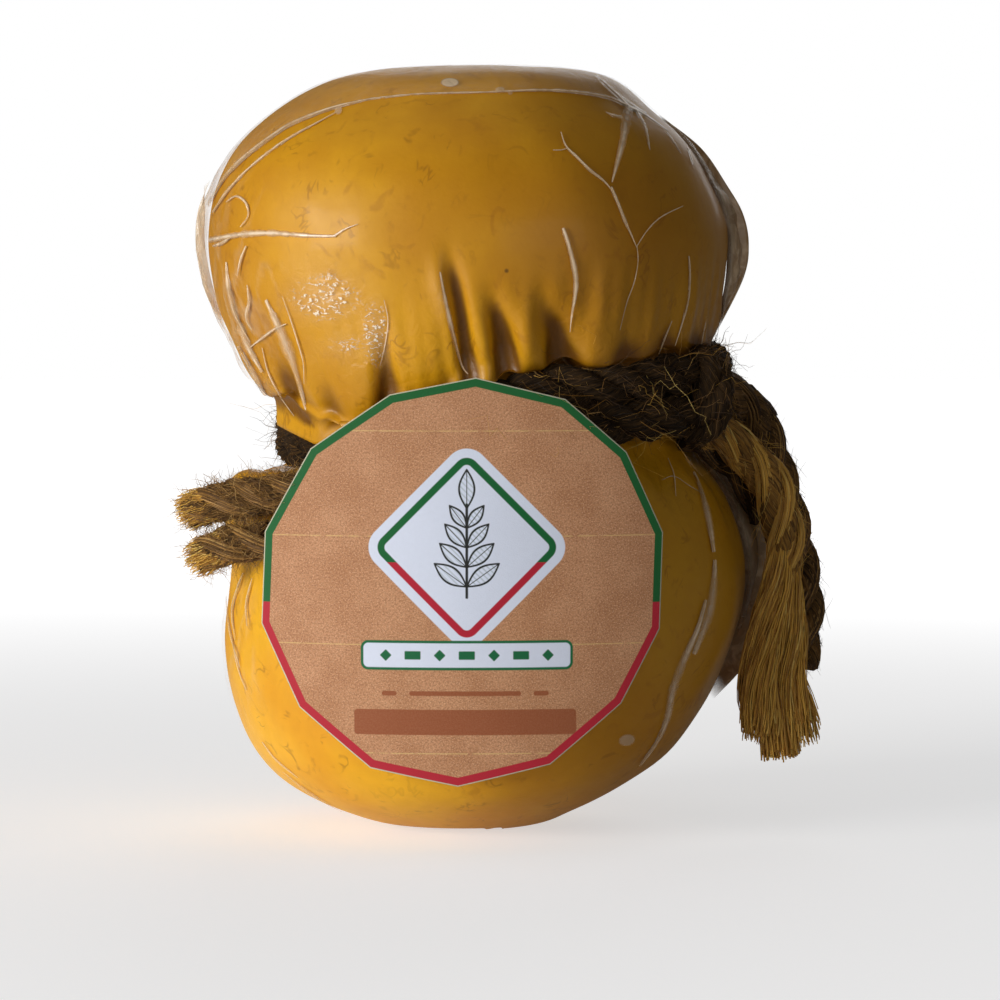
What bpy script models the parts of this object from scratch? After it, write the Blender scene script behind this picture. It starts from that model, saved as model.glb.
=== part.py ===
"""A smoked scamorza: a two-bellied cheese in clear shrink film, tied round its waist with jute rope.

Lengths at the top are in millimetres. The origin is the middle of the small flat that the cheese stands on,
+X is its right and -Y its front, where a round label with fourteen sides is stuck.
"""

import math

import bmesh
import bpy
import numpy as np
from mathutils import Vector

MM = 0.001

# The cheese, ring by ring from the base up: the left side's x and z, the right side's x and z, how far the
# ring reaches to the front and how far to the back. The rings lean where the rope sits higher on the right.
RINGS = [
    (-9.6, 0.0, 9.2, 0.0, 9.4, 9.0),
    (-15.2, 1.6, 13.2, 1.7, 15.8, 14.5),
    (-22.0, 4.8, 19.3, 4.8, 23.4, 21.2),
    (-27.3, 10.0, 26.4, 10.0, 27.8, 27.2),
    (-29.8, 17.0, 31.4, 17.6, 29.4, 30.4),
    (-30.4, 25.0, 34.2, 26.0, 29.8, 31.5),
    (-28.9, 33.0, 33.9, 34.4, 29.5, 31.0),
    (-28.2, 40.0, 31.5, 41.4, 27.6, 29.2),
    (-26.8, 43.6, 29.3, 44.8, 25.4, 26.8),
    (-24.6, 44.4, 28.2, 46.5, 23.8, 24.8),
    (-21.5, 43.7, 27.5, 48.4, 22.5, 23.1),
    (-18.6, 45.7, 27.1, 51.0, 22.0, 22.2),
    (-18.2, 49.0, 27.0, 54.6, 21.9, 21.9),
    (-18.6, 52.5, 27.3, 58.4, 22.2, 22.2),
    (-21.3, 54.1, 28.4, 60.2, 23.8, 23.5),
    (-24.9, 52.9, 30.0, 61.0, 26.4, 25.8),
    (-27.5, 56.2, 31.4, 62.8, 28.2, 27.8),
    (-29.6, 60.4, 32.1, 66.2, 29.6, 29.5),
    (-31.4, 65.1, 32.5, 70.0, 30.7, 30.8),
    (-32.3, 71.4, 32.5, 74.4, 31.2, 31.5),
    (-31.5, 78.4, 30.6, 79.8, 30.2, 30.6),
    (-28.8, 84.2, 27.6, 85.0, 27.2, 28.0),
    (-22.8, 89.4, 22.4, 89.4, 22.0, 22.6),
    (-14.8, 93.3, 16.8, 93.5, 15.2, 15.8),
]
TOP = (1.2, 94.3)
SQUARENESS = 2.25
COLUMNS = 96
RING_STEPS = 50
FRONT_CROWDING = 0.42

# The gathers under the upper belly: direction in degrees from the front towards the right, height above the
# waist where each fades out, depth, and half its width in degrees.
GATHERS = [
    (-53, 13.0, 2.2, 5.0),
    (-34, 9.0, 0.6, 4.0),
    (-21, 13.0, 1.9, 3.4),
    (-11, 16.0, 0.8, 3.2),
    (-3, 18.0, 1.7, 3.0),
    (5, 15.0, 1.6, 2.8),
    (18, 14.0, 1.6, 3.2),
    (38, 9.0, 0.8, 4.0),
    (58, 12.0, 1.0, 4.5),
    (70, 13.0, 1.2, 4.5),
    (93, 12.0, 1.3, 6.0),
    (118, 15.0, 1.8, 7.0),
    (141, 12.0, 1.3, 6.0),
    (163, 16.0, 2.0, 7.0),
    (186, 13.0, 1.5, 6.5),
    (208, 16.0, 1.9, 7.0),
    (231, 12.0, 1.4, 6.0),
    (254, 14.0, 1.6, 6.5),
    (279, 12.0, 1.2, 6.0),
]
GATHER_DEEPEST = (4.6, 7.4)
GATHER_FADE = 6.0
PUFF_SHARE = 0.3
PUFF_PLACE = 2.2

# Ripples on the shoulder of the lower belly, between these depths below the waist.
SHOULDER_RIPPLES = 17
SHOULDER_RIPPLE = 0.45
SHOULDER_SWAY = (3, 0.8)
SHOULDER_START = (4.4, 6.5)
SHOULDER_FADE = (6.0, 15.0)

# Slow unevenness of a cheese formed by hand, as waves: height, number per turn, slant per mm, and start. It
# stays off the base, the waist and the very top.
DENTS = [(0.22, 2, 0.11, 0.0), (0.15, 3, -0.09, 1.3)]
DENT_BASE = (3.0, 14.0)
DENT_WAIST = (52.0, 6.0, 12.0)
DENT_TOP = (84.0, 95.0)

# The film's welded edges stand off the cheese: direction, height, how far out, and half their length.
FILM_EDGES = [(90.0, 72.5, 2.3, 9.5), (-90.0, 72.5, 1.8, 8.5), (87.0, 35.0, 2.0, 8.0)]
FILM_EDGE_HALF_ANGLE = 5.0

# The rope. Two turns lie in the waist, closer together on the left than on the right: the height of each
# turn's middle line on the left and on the right. The binding loop's points are how far out and up from the
# band.
ROPE = 5.0
WAIST_X = 4.6
TURN_HALF_X = 25.8
TURN_HALF_Y = 25.2
TURNS = [(47.0, 51.6), (51.0, 57.2)]
TURN_POINTS = 56
ROPE_BEVEL = 2
KNOT_DIRECTION = 57.0
KNOT_LOOP = [(0.6, 3.4), (2.4, 3.0), (3.3, 0.8), (3.3, -1.4), (2.3, -3.6), (0.4, -4.6)]

# Points on the middle lines of the loose rope ends: two tails that hang on the right and two short cut ends
# that show beside the label on the left.
FRONT_TAIL = [
    (33.3, -7.4, 47.1), (35.9, -7.6, 44.9), (38.0, -7.2, 41.2), (39.2, -6.6, 35.6),
    (38.9, -6.0, 27.8), (38.2, -5.8, 19.6), (39.0, -6.0, 8.6),
]
REAR_TAIL = [
    (35.9, 0.4, 51.0), (37.3, 1.0, 47.9), (38.9, 1.5, 43.0), (41.1, 1.8, 34.6),
    (42.3, 1.8, 27.6), (41.7, 1.6, 19.4),
]
UPPER_STUB = [
    (-15.2, -25.0, 44.3), (-19.4, -24.1, 42.9), (-24.0, -21.4, 42.0), (-28.6, -18.4, 41.3),
    (-33.3, -15.2, 39.8),
]
LOWER_STUB = [(-23.3, -22.5, 36.8), (-26.2, -20.6, 36.3), (-29.2, -18.4, 35.7), (-31.9, -16.4, 34.4)]
TAIL_SPACING = 6.0
STUB_SPACING = 3.0
KNOT_SPACING = 2.0

# The label, a fourteen-sided sheet cut by hand: each corner's distance from its middle and its bearing from
# the top, clockwise.
LABEL_CENTRE = (0.0, 32.3)
LABEL_CORNERS = [
    (24.0, 3), (24.5, 29), (24.6, 52), (24.7, 77), (24.4, 104), (23.8, 128), (23.9, 155),
    (24.2, 182), (24.8, 207), (25.1, 233), (25.5, 258), (25.1, 283), (24.2, 310), (23.7, 338),
]
LABEL_FRONT = -30.55
LABEL_THICKNESS = 0.4
LABEL_BEND_RADIUS = 60.0
LABEL_STRIPS = 14
LABEL_GRID = 26.0

SMOKED_RIND = ("smoked rind", (0.52, 0.24, 0.03), 0.32, 0.0)
JUTE = ("jute", (0.09, 0.045, 0.018), 0.95, 0.0)
LABEL_PAPER = ("label paper", (0.38, 0.2, 0.11), 0.75, 0.0)


def clear_scene():
    for obj in list(bpy.data.objects):
        bpy.data.objects.remove(obj, do_unlink=True)


def new_collection(name, hidden=False):
    collection = bpy.data.collections.new(name)
    bpy.context.scene.collection.children.link(collection)
    collection.hide_render = hidden
    return collection


def material(name, colour, roughness, metallic):
    found = bpy.data.materials.get(name)
    if found:
        return found
    made = bpy.data.materials.new(name)
    made.use_nodes = True
    made.diffuse_color = (*colour, 1.0)
    surface = made.node_tree.nodes["Principled BSDF"]
    surface.inputs["Base Color"].default_value = (*colour, 1.0)
    surface.inputs["Roughness"].default_value = roughness
    surface.inputs["Metallic"].default_value = metallic
    return made


def place(name, mesh, collection, finish):
    obj = bpy.data.objects.new(name, mesh)
    collection.objects.link(obj)
    mesh.materials.append(material(*finish))
    return obj


def between(low, high, value):
    """0 below low, 1 above high, and an easy ramp from one to the other."""
    share = min(1.0, max(0.0, (value - low) / (high - low)))
    return share * share * (3.0 - 2.0 * share)


def bell(distance, half_width):
    return math.exp(-((distance / half_width) ** 2))


def angle_apart(a, b):
    return (a - b + 180.0) % 360.0 - 180.0


def on_curve(points, where):
    """The place on a smooth curve through the points, where 1.5 is halfway from the second to the third."""
    first = min(int(where), len(points) - 2)
    share = where - first
    before, start, end, after = (
        np.array(points[min(max(k, 0), len(points) - 1)]) for k in range(first - 1, first + 3)
    )
    pull = 2 * before - 5 * start + 4 * end - after
    twist = 3 * (start - end) + after - before
    return start + 0.5 * share * (end - before + share * (pull + share * twist))


def rounded(turn):
    """Right and rear share of a slightly squared ring, at an angle in radians from the front to the right."""
    right, rear = math.sin(turn), -math.cos(turn)
    reach = (abs(right) ** SQUARENESS + abs(rear) ** SQUARENESS) ** (-1.0 / SQUARENESS)
    return right * reach, rear * reach


def ring_measures():
    """Each ring as middle x, half its width, middle z, half its lean, front and back reach, pole to pole.

    The first and last rows lie past the poles and mirror their neighbours, which makes both poles round.
    """
    rows = [
        ((lx + rx) / 2, (rx - lx) / 2, (lz + rz) / 2, (rz - lz) / 2, front, back)
        for lx, lz, rx, rz, front, back in RINGS
    ]
    bottom = (rows[0][0], 0.0, 0.0, 0.0, 0.0, 0.0)
    top = (TOP[0], 0.0, TOP[1], 0.0, 0.0, 0.0)
    past_bottom, past_top = (
        (x, -half, z, -lean, -front, -back) for x, half, z, lean, front, back in (rows[0], rows[-1])
    )
    return [past_bottom, bottom, *rows, top, past_top]


def waist_height(x, share=0.5):
    """Height of the rope band at x: share 0 is its lower turn and 1 its upper turn."""
    left = TURNS[0][0] + share * (TURNS[1][0] - TURNS[0][0])
    right = TURNS[0][1] + share * (TURNS[1][1] - TURNS[0][1])
    return left + (right - left) * (x - WAIST_X + TURN_HALF_X) / (2 * TURN_HALF_X)


def relief(direction, height, x):
    """How far the surface stands out, in mm, at a direction in degrees from the front towards the right."""
    above = height - waist_height(x)
    out = 0.0
    if above > 0:
        for angle, top, depth, half_width in GATHERS:
            apart = abs(angle_apart(direction, angle))
            strength = depth * between(*GATHER_DEEPEST, above) * (1.0 - between(GATHER_FADE, top, above))
            puff = PUFF_SHARE * bell(apart - PUFF_PLACE * half_width, half_width)
            out += strength * (puff - bell(apart, half_width))
    else:
        turn = math.radians(direction)
        per_turn, sway = SHOULDER_SWAY
        ripple = math.cos(SHOULDER_RIPPLES * turn + sway * math.sin(per_turn * turn))
        strength = between(*SHOULDER_START, -above) * (1.0 - between(*SHOULDER_FADE, -above))
        out += SHOULDER_RIPPLE * ripple * strength
    for angle, middle, reach, half_length in FILM_EDGES:
        near = bell(angle_apart(direction, angle), FILM_EDGE_HALF_ANGLE)
        out += reach * near * bell(height - middle, half_length)
    return out


def dents(direction, height):
    turn = math.radians(direction)
    wave = sum(
        most * math.sin(per_turn * turn + slant * height + start) for most, per_turn, slant, start in DENTS
    )
    middle, inner, outer = DENT_WAIST
    calm = between(*DENT_BASE, height) * between(inner, outer, abs(height - middle))
    return wave * calm * (1.0 - between(*DENT_TOP, height))


def cheese_point(rows, unit):
    """Where a point of the unit sphere comes to lie on the cheese, in mm."""
    climb = math.acos(max(-1.0, min(1.0, -unit.z))) / math.pi
    middle, half, height, lean, front, back = on_curve(rows, 1.0 + climb * (len(rows) - 3))
    turn = math.atan2(unit.x, -unit.y)
    turn -= FRONT_CROWDING * math.sin(turn)
    right, rear = rounded(turn)
    x = middle + half * right
    y = rear * (back if rear > 0 else front)
    z = max(0.0, height + lean * right)
    direction = math.degrees(turn)
    out = relief(direction, z, x) + dents(direction, z)
    return Vector((x + out * math.sin(turn), y - out * math.cos(turn), z))


def make_cheese(collection):
    shape = bmesh.new()
    bmesh.ops.create_uvsphere(shape, u_segments=COLUMNS, v_segments=RING_STEPS, radius=1.0)
    rows = ring_measures()
    for vertex in shape.verts:
        vertex.co = cheese_point(rows, vertex.co) * MM
    bmesh.ops.recalc_face_normals(shape, faces=shape.faces)
    mesh = bpy.data.meshes.new("wrapped_cheese")
    shape.to_mesh(mesh)
    shape.free()
    mesh.shade_smooth()
    return place("wrapped_cheese", mesh, collection, SMOKED_RIND)


def rope_curve(name, points, collection, finish, closed=False):
    """A plain round rope along the points, which are in mm."""
    curve = bpy.data.curves.new(name, "CURVE")
    curve.dimensions = "3D"
    curve.bevel_depth = ROPE / 2 * MM
    curve.bevel_resolution = ROPE_BEVEL
    curve.use_fill_caps = not closed
    spline = curve.splines.new("POLY")
    spline.points.add(len(points) - 1)
    spline.use_cyclic_u = closed
    for point, place_mm in zip(spline.points, points):
        point.co = (*(Vector(place_mm) * MM), 1.0)
    return place(name, curve, collection, finish)


def as_mesh(obj):
    """The curve object made a mesh object with its caps welded on."""
    graph = bpy.context.evaluated_depsgraph_get()
    mesh = bpy.data.meshes.new_from_object(obj.evaluated_get(graph))
    shape = bmesh.new()
    shape.from_mesh(mesh)
    bmesh.ops.remove_doubles(shape, verts=shape.verts, dist=1e-6)
    bmesh.ops.recalc_face_normals(shape, faces=shape.faces)
    shape.to_mesh(mesh)
    shape.free()
    solid = bpy.data.objects.new(obj.name, mesh)
    solid.matrix_world = obj.matrix_world
    for collection in obj.users_collection:
        collection.objects.link(solid)
    name = obj.name
    bpy.data.objects.remove(obj, do_unlink=True)
    solid.name = name
    return solid


def along(points, spacing):
    """Points about this far apart on a smooth curve through the given ones."""
    length = sum((Vector(b) - Vector(a)).length for a, b in zip(points, points[1:]))
    count = max(4, round(length / spacing))
    return [on_curve(points, k * (len(points) - 1) / count) for k in range(count + 1)]


def turn_points(share):
    points = []
    for k in range(TURN_POINTS):
        right, rear = rounded(2 * math.pi * k / TURN_POINTS)
        x = WAIST_X + TURN_HALF_X * right
        points.append((x, TURN_HALF_Y * rear, waist_height(x, share)))
    return points


def knot_points():
    """The binding loop that crosses both turns on the front right, from over them to under them."""
    right, rear = rounded(math.radians(KNOT_DIRECTION))
    points = []
    for out, up in KNOT_LOOP:
        x = WAIST_X + (TURN_HALF_X + out) * right
        points.append((x, (TURN_HALF_Y + out) * rear, waist_height(x) + up))
    return points


def make_waist_rope(collection, helpers):
    """Two turns and the loop that binds them, united to one solid."""
    band = as_mesh(rope_curve("waist_rope", turn_points(0.0), collection, JUTE, closed=True))
    others = {
        "upper_turn": rope_curve("upper_turn", turn_points(1.0), helpers, JUTE, closed=True),
        "knot_loop": rope_curve("knot_loop", along(knot_points(), KNOT_SPACING), helpers, JUTE),
    }
    for name, curve in others.items():
        other = as_mesh(curve)
        other.hide_render = True
        other.display_type = "WIRE"
        union = band.modifiers.new(f"join {name}", "BOOLEAN")
        union.operation = "UNION"
        union.object = other
    return band


def label_corner(number):
    """A corner of the flat label as (across, up) from its middle."""
    reach, bearing = LABEL_CORNERS[number % len(LABEL_CORNERS)]
    angle = math.radians(bearing)
    return Vector((reach * math.sin(angle), reach * math.cos(angle), 0.0))


def make_label(collection):
    """A flat grid trimmed by the fourteen edges, bent a little round an upright line, and thickened."""
    shape = bmesh.new()
    bmesh.ops.create_grid(shape, x_segments=LABEL_STRIPS, y_segments=1, size=LABEL_GRID)
    for k in range(len(LABEL_CORNERS)):
        start, end = label_corner(k), label_corner(k + 1)
        edge = end - start
        bmesh.ops.bisect_plane(
            shape,
            geom=shape.verts[:] + shape.edges[:] + shape.faces[:],
            dist=1e-7,
            plane_co=start,
            plane_no=(-edge.y, edge.x, 0.0),
            clear_outer=True,
        )
    for vertex in shape.verts:
        bend = vertex.co.x / LABEL_BEND_RADIUS
        x = LABEL_CENTRE[0] + LABEL_BEND_RADIUS * math.sin(bend)
        y = LABEL_FRONT + LABEL_BEND_RADIUS * (1.0 - math.cos(bend))
        vertex.co = Vector((x, y, LABEL_CENTRE[1] + vertex.co.y)) * MM
    bmesh.ops.recalc_face_normals(shape, faces=shape.faces)
    mesh = bpy.data.meshes.new("label")
    shape.to_mesh(mesh)
    shape.free()
    label = place("label", mesh, collection, LABEL_PAPER)
    thicken = label.modifiers.new("paper", "SOLIDIFY")
    thicken.thickness = LABEL_THICKNESS * MM
    thicken.offset = -1.0
    return label


def main():
    clear_scene()
    scamorza = new_collection("smoked scamorza")
    helpers = new_collection("rope joins", hidden=True)
    make_cheese(scamorza)
    make_waist_rope(scamorza, helpers)
    rope_curve("front_tail", along(FRONT_TAIL, TAIL_SPACING), scamorza, JUTE)
    rope_curve("rear_tail", along(REAR_TAIL, TAIL_SPACING), scamorza, JUTE)
    rope_curve("upper_stub", along(UPPER_STUB, STUB_SPACING), scamorza, JUTE)
    rope_curve("lower_stub", along(LOWER_STUB, STUB_SPACING), scamorza, JUTE)
    make_label(scamorza)


main()
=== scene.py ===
"""How the smoked scamorza looks: a smoked cheese under clear shrink film, hairy jute rope and a kraft label.

Lengths are in millimetres until a mesh is made from them. Places given as two numbers from 0 to 1000 are
places in the camera's view, across and down from its upper left corner.
"""

import math

import bmesh
import bpy
import numpy as np
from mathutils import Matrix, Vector
from mathutils.bvhtree import BVHTree


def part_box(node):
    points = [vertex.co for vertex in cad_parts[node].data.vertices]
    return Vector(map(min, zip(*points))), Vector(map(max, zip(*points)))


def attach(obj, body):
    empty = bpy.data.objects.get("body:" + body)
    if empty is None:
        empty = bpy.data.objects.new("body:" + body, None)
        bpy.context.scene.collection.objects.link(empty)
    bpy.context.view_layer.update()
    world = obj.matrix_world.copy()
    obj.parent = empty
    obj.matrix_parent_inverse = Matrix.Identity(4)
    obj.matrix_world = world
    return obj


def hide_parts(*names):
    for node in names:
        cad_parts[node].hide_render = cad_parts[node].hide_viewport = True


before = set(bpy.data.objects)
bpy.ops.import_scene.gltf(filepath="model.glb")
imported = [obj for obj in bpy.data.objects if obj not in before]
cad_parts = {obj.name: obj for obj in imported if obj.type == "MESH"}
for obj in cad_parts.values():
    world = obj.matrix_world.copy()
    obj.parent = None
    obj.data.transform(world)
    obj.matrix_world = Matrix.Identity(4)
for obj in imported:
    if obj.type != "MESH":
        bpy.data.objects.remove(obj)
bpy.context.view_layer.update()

MM = 0.001
TURN = 2 * math.pi

AIM = Vector((4.1, 0.0, 40.3))
DISTANCE = 500.0
ELEVATION = math.radians(3.0)
LENS = 144.0
SENSOR = 36.0
VIEW_STEP = SENSOR / LENS / 1000 * DISTANCE
VIEW_RIGHT = Vector((1, 0, 0))
VIEW_UP = Vector((0, math.sin(ELEVATION), math.cos(ELEVATION)))
VIEW_AHEAD = Vector((0, math.cos(ELEVATION), -math.sin(ELEVATION)))
EYE = AIM - DISTANCE * VIEW_AHEAD
VIEW_MIDDLE = 500

# The rope, as the model has it.
ROPE = 5.0
WAIST_X, TURN_HALF_X, TURN_HALF_Y = 4.6, 25.8, 25.2
TURNS = [(47.0, 51.6), (51.0, 57.2)]
SQUARENESS = 2.25
KNOT_DIRECTION = 57.0
KNOT_LOOP = [(0.6, 3.4), (2.4, 3.0), (3.3, 0.8), (3.3, -1.4), (2.3, -3.6), (0.4, -4.6)]
FRONT_TAIL = [
    (33.3, -7.4, 47.1), (35.9, -7.6, 44.9), (38.0, -7.2, 41.2), (39.2, -6.6, 35.6),
    (38.9, -6.0, 27.8), (38.2, -5.8, 19.6), (39.0, -6.0, 8.6),
]
REAR_TAIL = [
    (35.9, 0.4, 51.0), (37.3, 1.0, 47.9), (38.9, 1.5, 43.0), (41.1, 1.8, 34.6),
    (42.3, 1.8, 27.6), (41.7, 1.6, 19.4),
]
UPPER_STUB = [
    (-15.2, -25.0, 44.3), (-19.4, -24.1, 42.9), (-24.0, -21.4, 42.0), (-28.6, -18.4, 41.3),
    (-33.3, -15.2, 39.8),
]
LOWER_STUB = [(-23.3, -22.5, 36.8), (-26.2, -20.6, 36.3), (-29.2, -18.4, 35.7), (-31.9, -16.4, 34.4)]

# The label.
LABEL_CENTRE = (0.0, 32.3)
LABEL_CORNERS = [
    (24.0, 3), (24.5, 29), (24.6, 52), (24.7, 77), (24.4, 104), (23.8, 128), (23.9, 155),
    (24.2, 182), (24.8, 207), (25.1, 233), (25.5, 258), (25.1, 283), (24.2, 310), (23.7, 338),
]
LABEL_BEND_RADIUS = 60.0


# ---------------------------------------------------------------- nodes

class Value:
    """What a node gives, which can be used in sums."""

    def __init__(self, net, node, out=0):
        self.net, self.node = net, node
        self.socket = node.outputs[out] if len(node.outputs) else None

    def out(self, which):
        return Value(self.net, self.node, which)

    def __add__(self, other):
        return self.net.maths("ADD", self, other)

    __radd__ = __add__

    def __sub__(self, other):
        return self.net.maths("SUBTRACT", self, other)

    def __rsub__(self, other):
        return self.net.maths("SUBTRACT", other, self)

    def __mul__(self, other):
        return self.net.maths("MULTIPLY", self, other)

    __rmul__ = __mul__

    def __truediv__(self, other):
        return self.net.maths("DIVIDE", self, other)

    def __rtruediv__(self, other):
        return self.net.maths("DIVIDE", other, self)

    def __neg__(self):
        return self.net.maths("MULTIPLY", self, -1.0)


class Net:
    """Adds nodes to one tree."""

    def __init__(self, tree):
        self.tree = tree

    def add(self, kind, settings=None, sockets=None, out=0):
        """A new node, with its settings and with numbers or other nodes in its sockets."""
        node = self.tree.nodes.new(kind)
        for name, value in (settings or {}).items():
            setattr(node, name, value)
        for name, value in (sockets or {}).items():
            if isinstance(value, Value):
                self.tree.links.new(value.socket, node.inputs[name])
            else:
                node.inputs[name].default_value = value
        return Value(self, node, out)

    def maths(self, operation, *values):
        return self.add("ShaderNodeMath", {"operation": operation}, dict(enumerate(values)))

    def vector(self, operation, *values, out=0, **named):
        sockets = {**dict(enumerate(values)), **named}
        return self.add("ShaderNodeVectorMath", {"operation": operation}, sockets, out)

    def scaled(self, vector, amount):
        return self.vector("SCALE", vector, Scale=amount)

    def length(self, vector):
        return self.vector("LENGTH", vector, out="Value")

    def joined(self, x=0.0, y=0.0, z=0.0):
        return self.add("ShaderNodeCombineXYZ", None, {0: x, 1: y, 2: z})

    def split(self, vector):
        apart = self.add("ShaderNodeSeparateXYZ", None, {0: vector})
        return apart, apart.out(1), apart.out(2)

    def ramp(self, value, low, high):
        """0 where value is low and 1 where it is high, with a soft step between."""
        settings = {"interpolation_type": "SMOOTHSTEP"}
        return self.add("ShaderNodeMapRange", settings, {0: value, 1: low, 2: high, 3: 0.0, 4: 1.0})

    def noise(self, place, scale, detail=2.0, roughness=0.5, bend=0.0):
        return self.add("ShaderNodeTexNoise", None, {
            "Vector": place, "Scale": scale, "Detail": detail, "Roughness": roughness, "Distortion": bend,
        })

    def bump(self, height, strength=1.0):
        """A bent normal from a height in millimetres."""
        return self.add("ShaderNodeBump", None, {"Strength": strength, "Distance": MM, "Height": height})

    def mix(self, share, a, b):
        return self.add("ShaderNodeMix", {"data_type": "RGBA"}, {0: share, 6: a, 7: b}, out=2)

    def larger(self, a, b):
        return self.maths("MAXIMUM", a, b)

    def smaller(self, a, b):
        return self.maths("MINIMUM", a, b)

    def unsigned(self, value):
        """The value without its sign."""
        return self.maths("ABSOLUTE", value)


def rgb(red, green, blue):
    """A colour of the screen, from 0 to 255, as light."""
    shares = [c / 255 for c in (red, green, blue)]
    return (*(((c + 0.055) / 1.055) ** 2.4 if c > 0.04 else c / 12.92 for c in shares), 1.0)


def finish(name, paint, **fixed):
    """A material. paint(net) gives the sockets of its Principled shader; fixed ones are numbers."""
    made = bpy.data.materials.new(name)
    made.use_nodes = True
    tree = made.node_tree
    tree.nodes.clear()
    net = Net(tree)
    sockets = {key.replace("_", " "): value for key, value in fixed.items()}
    sockets.update(paint(net))
    shader = net.add("ShaderNodeBsdfPrincipled", None, sockets)
    net.add("ShaderNodeOutputMaterial", None, {"Surface": shader})
    return made


def places(net):
    """The place on the object in millimetres."""
    return net.scaled(net.add("ShaderNodeTexCoord", None, None, out="Object"), 1 / MM)


def carried(net, name, out="Fac"):
    """A number that the mesh carries on its points."""
    return net.add("ShaderNodeAttribute", {"attribute_name": name}, None, out=out)


# ---------------------------------------------------------------- meshes

def piece(name, mesh, slot, *stands_for):
    """The mesh as a piece of the object, in place of the solids that it stands for."""
    obj = bpy.data.objects.new(name, mesh)
    bpy.context.scene.collection.objects.link(obj)
    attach(obj, "root")
    if stands_for:
        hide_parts(*stands_for)
    return obj


def points_of(mesh):
    """The mesh's points in mm, as rows."""
    points = np.empty(len(mesh.vertices) * 3)
    mesh.vertices.foreach_get("co", points)
    return points.reshape(-1, 3) / MM


def normals_of(mesh):
    normals = np.empty(len(mesh.vertices) * 3)
    mesh.vertex_normals.foreach_get("vector", normals)
    return normals.reshape(-1, 3)


def move_points(mesh, points):
    """Puts the mesh's points at these places in mm."""
    mesh.vertices.foreach_set("co", (points * MM).ravel())
    mesh.update()


def carry(mesh, name, values):
    """Has the mesh carry a number on each point, for its material or its tree."""
    mesh.attributes.new(name, "FLOAT", "POINT").data.foreach_set("value", values)


def smoothed(mesh, values, rounds):
    """Values at the points, each one drawn towards the mean of its neighbours this many times."""
    ends = np.empty(len(mesh.edges) * 2, int)
    mesh.edges.foreach_get("vertices", ends)
    a, b = ends.reshape(-1, 2).T
    count = np.bincount(a, minlength=len(values)) + np.bincount(b, minlength=len(values))
    for _ in range(rounds):
        total = np.zeros_like(values)
        np.add.at(total, a, values[b])
        np.add.at(total, b, values[a])
        values = 0.5 * values + 0.5 * (total.T / count).T
    return values


def fine_copy(node, levels):
    """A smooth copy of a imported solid: its points merged, its triangles joined in pairs, and subdivided."""
    shape = bmesh.new()
    shape.from_mesh(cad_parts[node].data)
    bmesh.ops.remove_doubles(shape, verts=shape.verts, dist=1e-7)
    bmesh.ops.join_triangles(
        shape, faces=shape.faces, angle_face_threshold=1.2, angle_shape_threshold=1.2
    )
    mesh = bpy.data.meshes.new(node + "_copy")
    shape.to_mesh(mesh)
    shape.free()
    rough = bpy.data.objects.new(node + "_copy", mesh)
    bpy.context.scene.collection.objects.link(rough)
    finer = rough.modifiers.new("finer", "SUBSURF")
    finer.levels = finer.render_levels = levels
    graph = bpy.context.evaluated_depsgraph_get()
    made = bpy.data.meshes.new_from_object(rough.evaluated_get(graph))
    bpy.data.objects.remove(rough)
    made.materials.clear()
    made.shade_smooth()
    return made


def between(low, high, value):
    """0 where value is low and 1 where it is high, with a soft step between."""
    share = np.clip((value - low) / (high - low), 0.0, 1.0)
    return share * share * (3 - 2 * share)


def bell(distance, half_width):
    """1 where the distance is nought, falling off softly over the half width."""
    return np.exp(-((distance / half_width) ** 2))


def waves(points, seed, size, detail=3):
    """Smooth random values from about -1 to 1 at the points, with bumps about this many mm across."""
    chance = np.random.default_rng(seed)
    total = np.zeros(len(points))
    for level in range(detail):
        for _ in range(9):
            way = chance.normal(size=3)
            way *= TURN / (size / 2**level) * chance.uniform(0.6, 1.4) / np.linalg.norm(way)
            total += np.sin(points @ way + chance.uniform(0, TURN)) * 0.5**level / 4.2
    return total


def in_view(points):
    """Where the points are in the camera's view, from 0 to 1000 across and down."""
    away = points - np.array(EYE)
    depth = away @ np.array(VIEW_AHEAD)
    across = away @ np.array(VIEW_RIGHT) / depth * DISTANCE / VIEW_STEP
    up = away @ np.array(VIEW_UP) / depth * DISTANCE / VIEW_STEP
    return VIEW_MIDDLE + across, VIEW_MIDDLE - up


def view_ray(across, down):
    """The direction from the eye to a place in the camera's view."""
    right = VIEW_RIGHT * (across - VIEW_MIDDLE) * VIEW_STEP
    up = VIEW_UP * (VIEW_MIDDLE - down) * VIEW_STEP
    return (VIEW_AHEAD * DISTANCE + right + up).normalized()


def smooth_path(points, spacing):
    """Points this far apart on a smooth curve through the given ones, which may carry more numbers."""
    points = np.array(points, float)
    padded = np.vstack([2 * points[0] - points[1], points, 2 * points[-1] - points[-2]])
    dense = []
    for where in np.linspace(0, len(points) - 1, 16 * len(points)):
        first = min(int(where), len(points) - 2)
        t = where - first
        a, b, c, d = padded[first:first + 4]
        dense.append(b + 0.5 * t * (c - a + t * (2 * a - 5 * b + 4 * c - d + t * (3 * (b - c) + d - a))))
    dense = np.array(dense)
    walked = np.concatenate([[0], np.cumsum(np.linalg.norm(np.diff(dense[:, :3], axis=0), axis=1))])
    stops = np.linspace(0, walked[-1], max(4, round(walked[-1] / spacing)) + 1)
    return np.column_stack([np.interp(stops, walked, column) for column in dense.T])


def seen_path(places):
    """Places 4 apart on a smooth curve through the given places in the camera's view."""
    return smooth_path([(across, down, 0) for across, down in places], 4.0)[:, :2]


def path_length(points):
    """How long a path is in mm."""
    points = np.array(points, float)
    return float(np.linalg.norm(np.diff(points[:, :3], axis=0), axis=1).sum())


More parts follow.
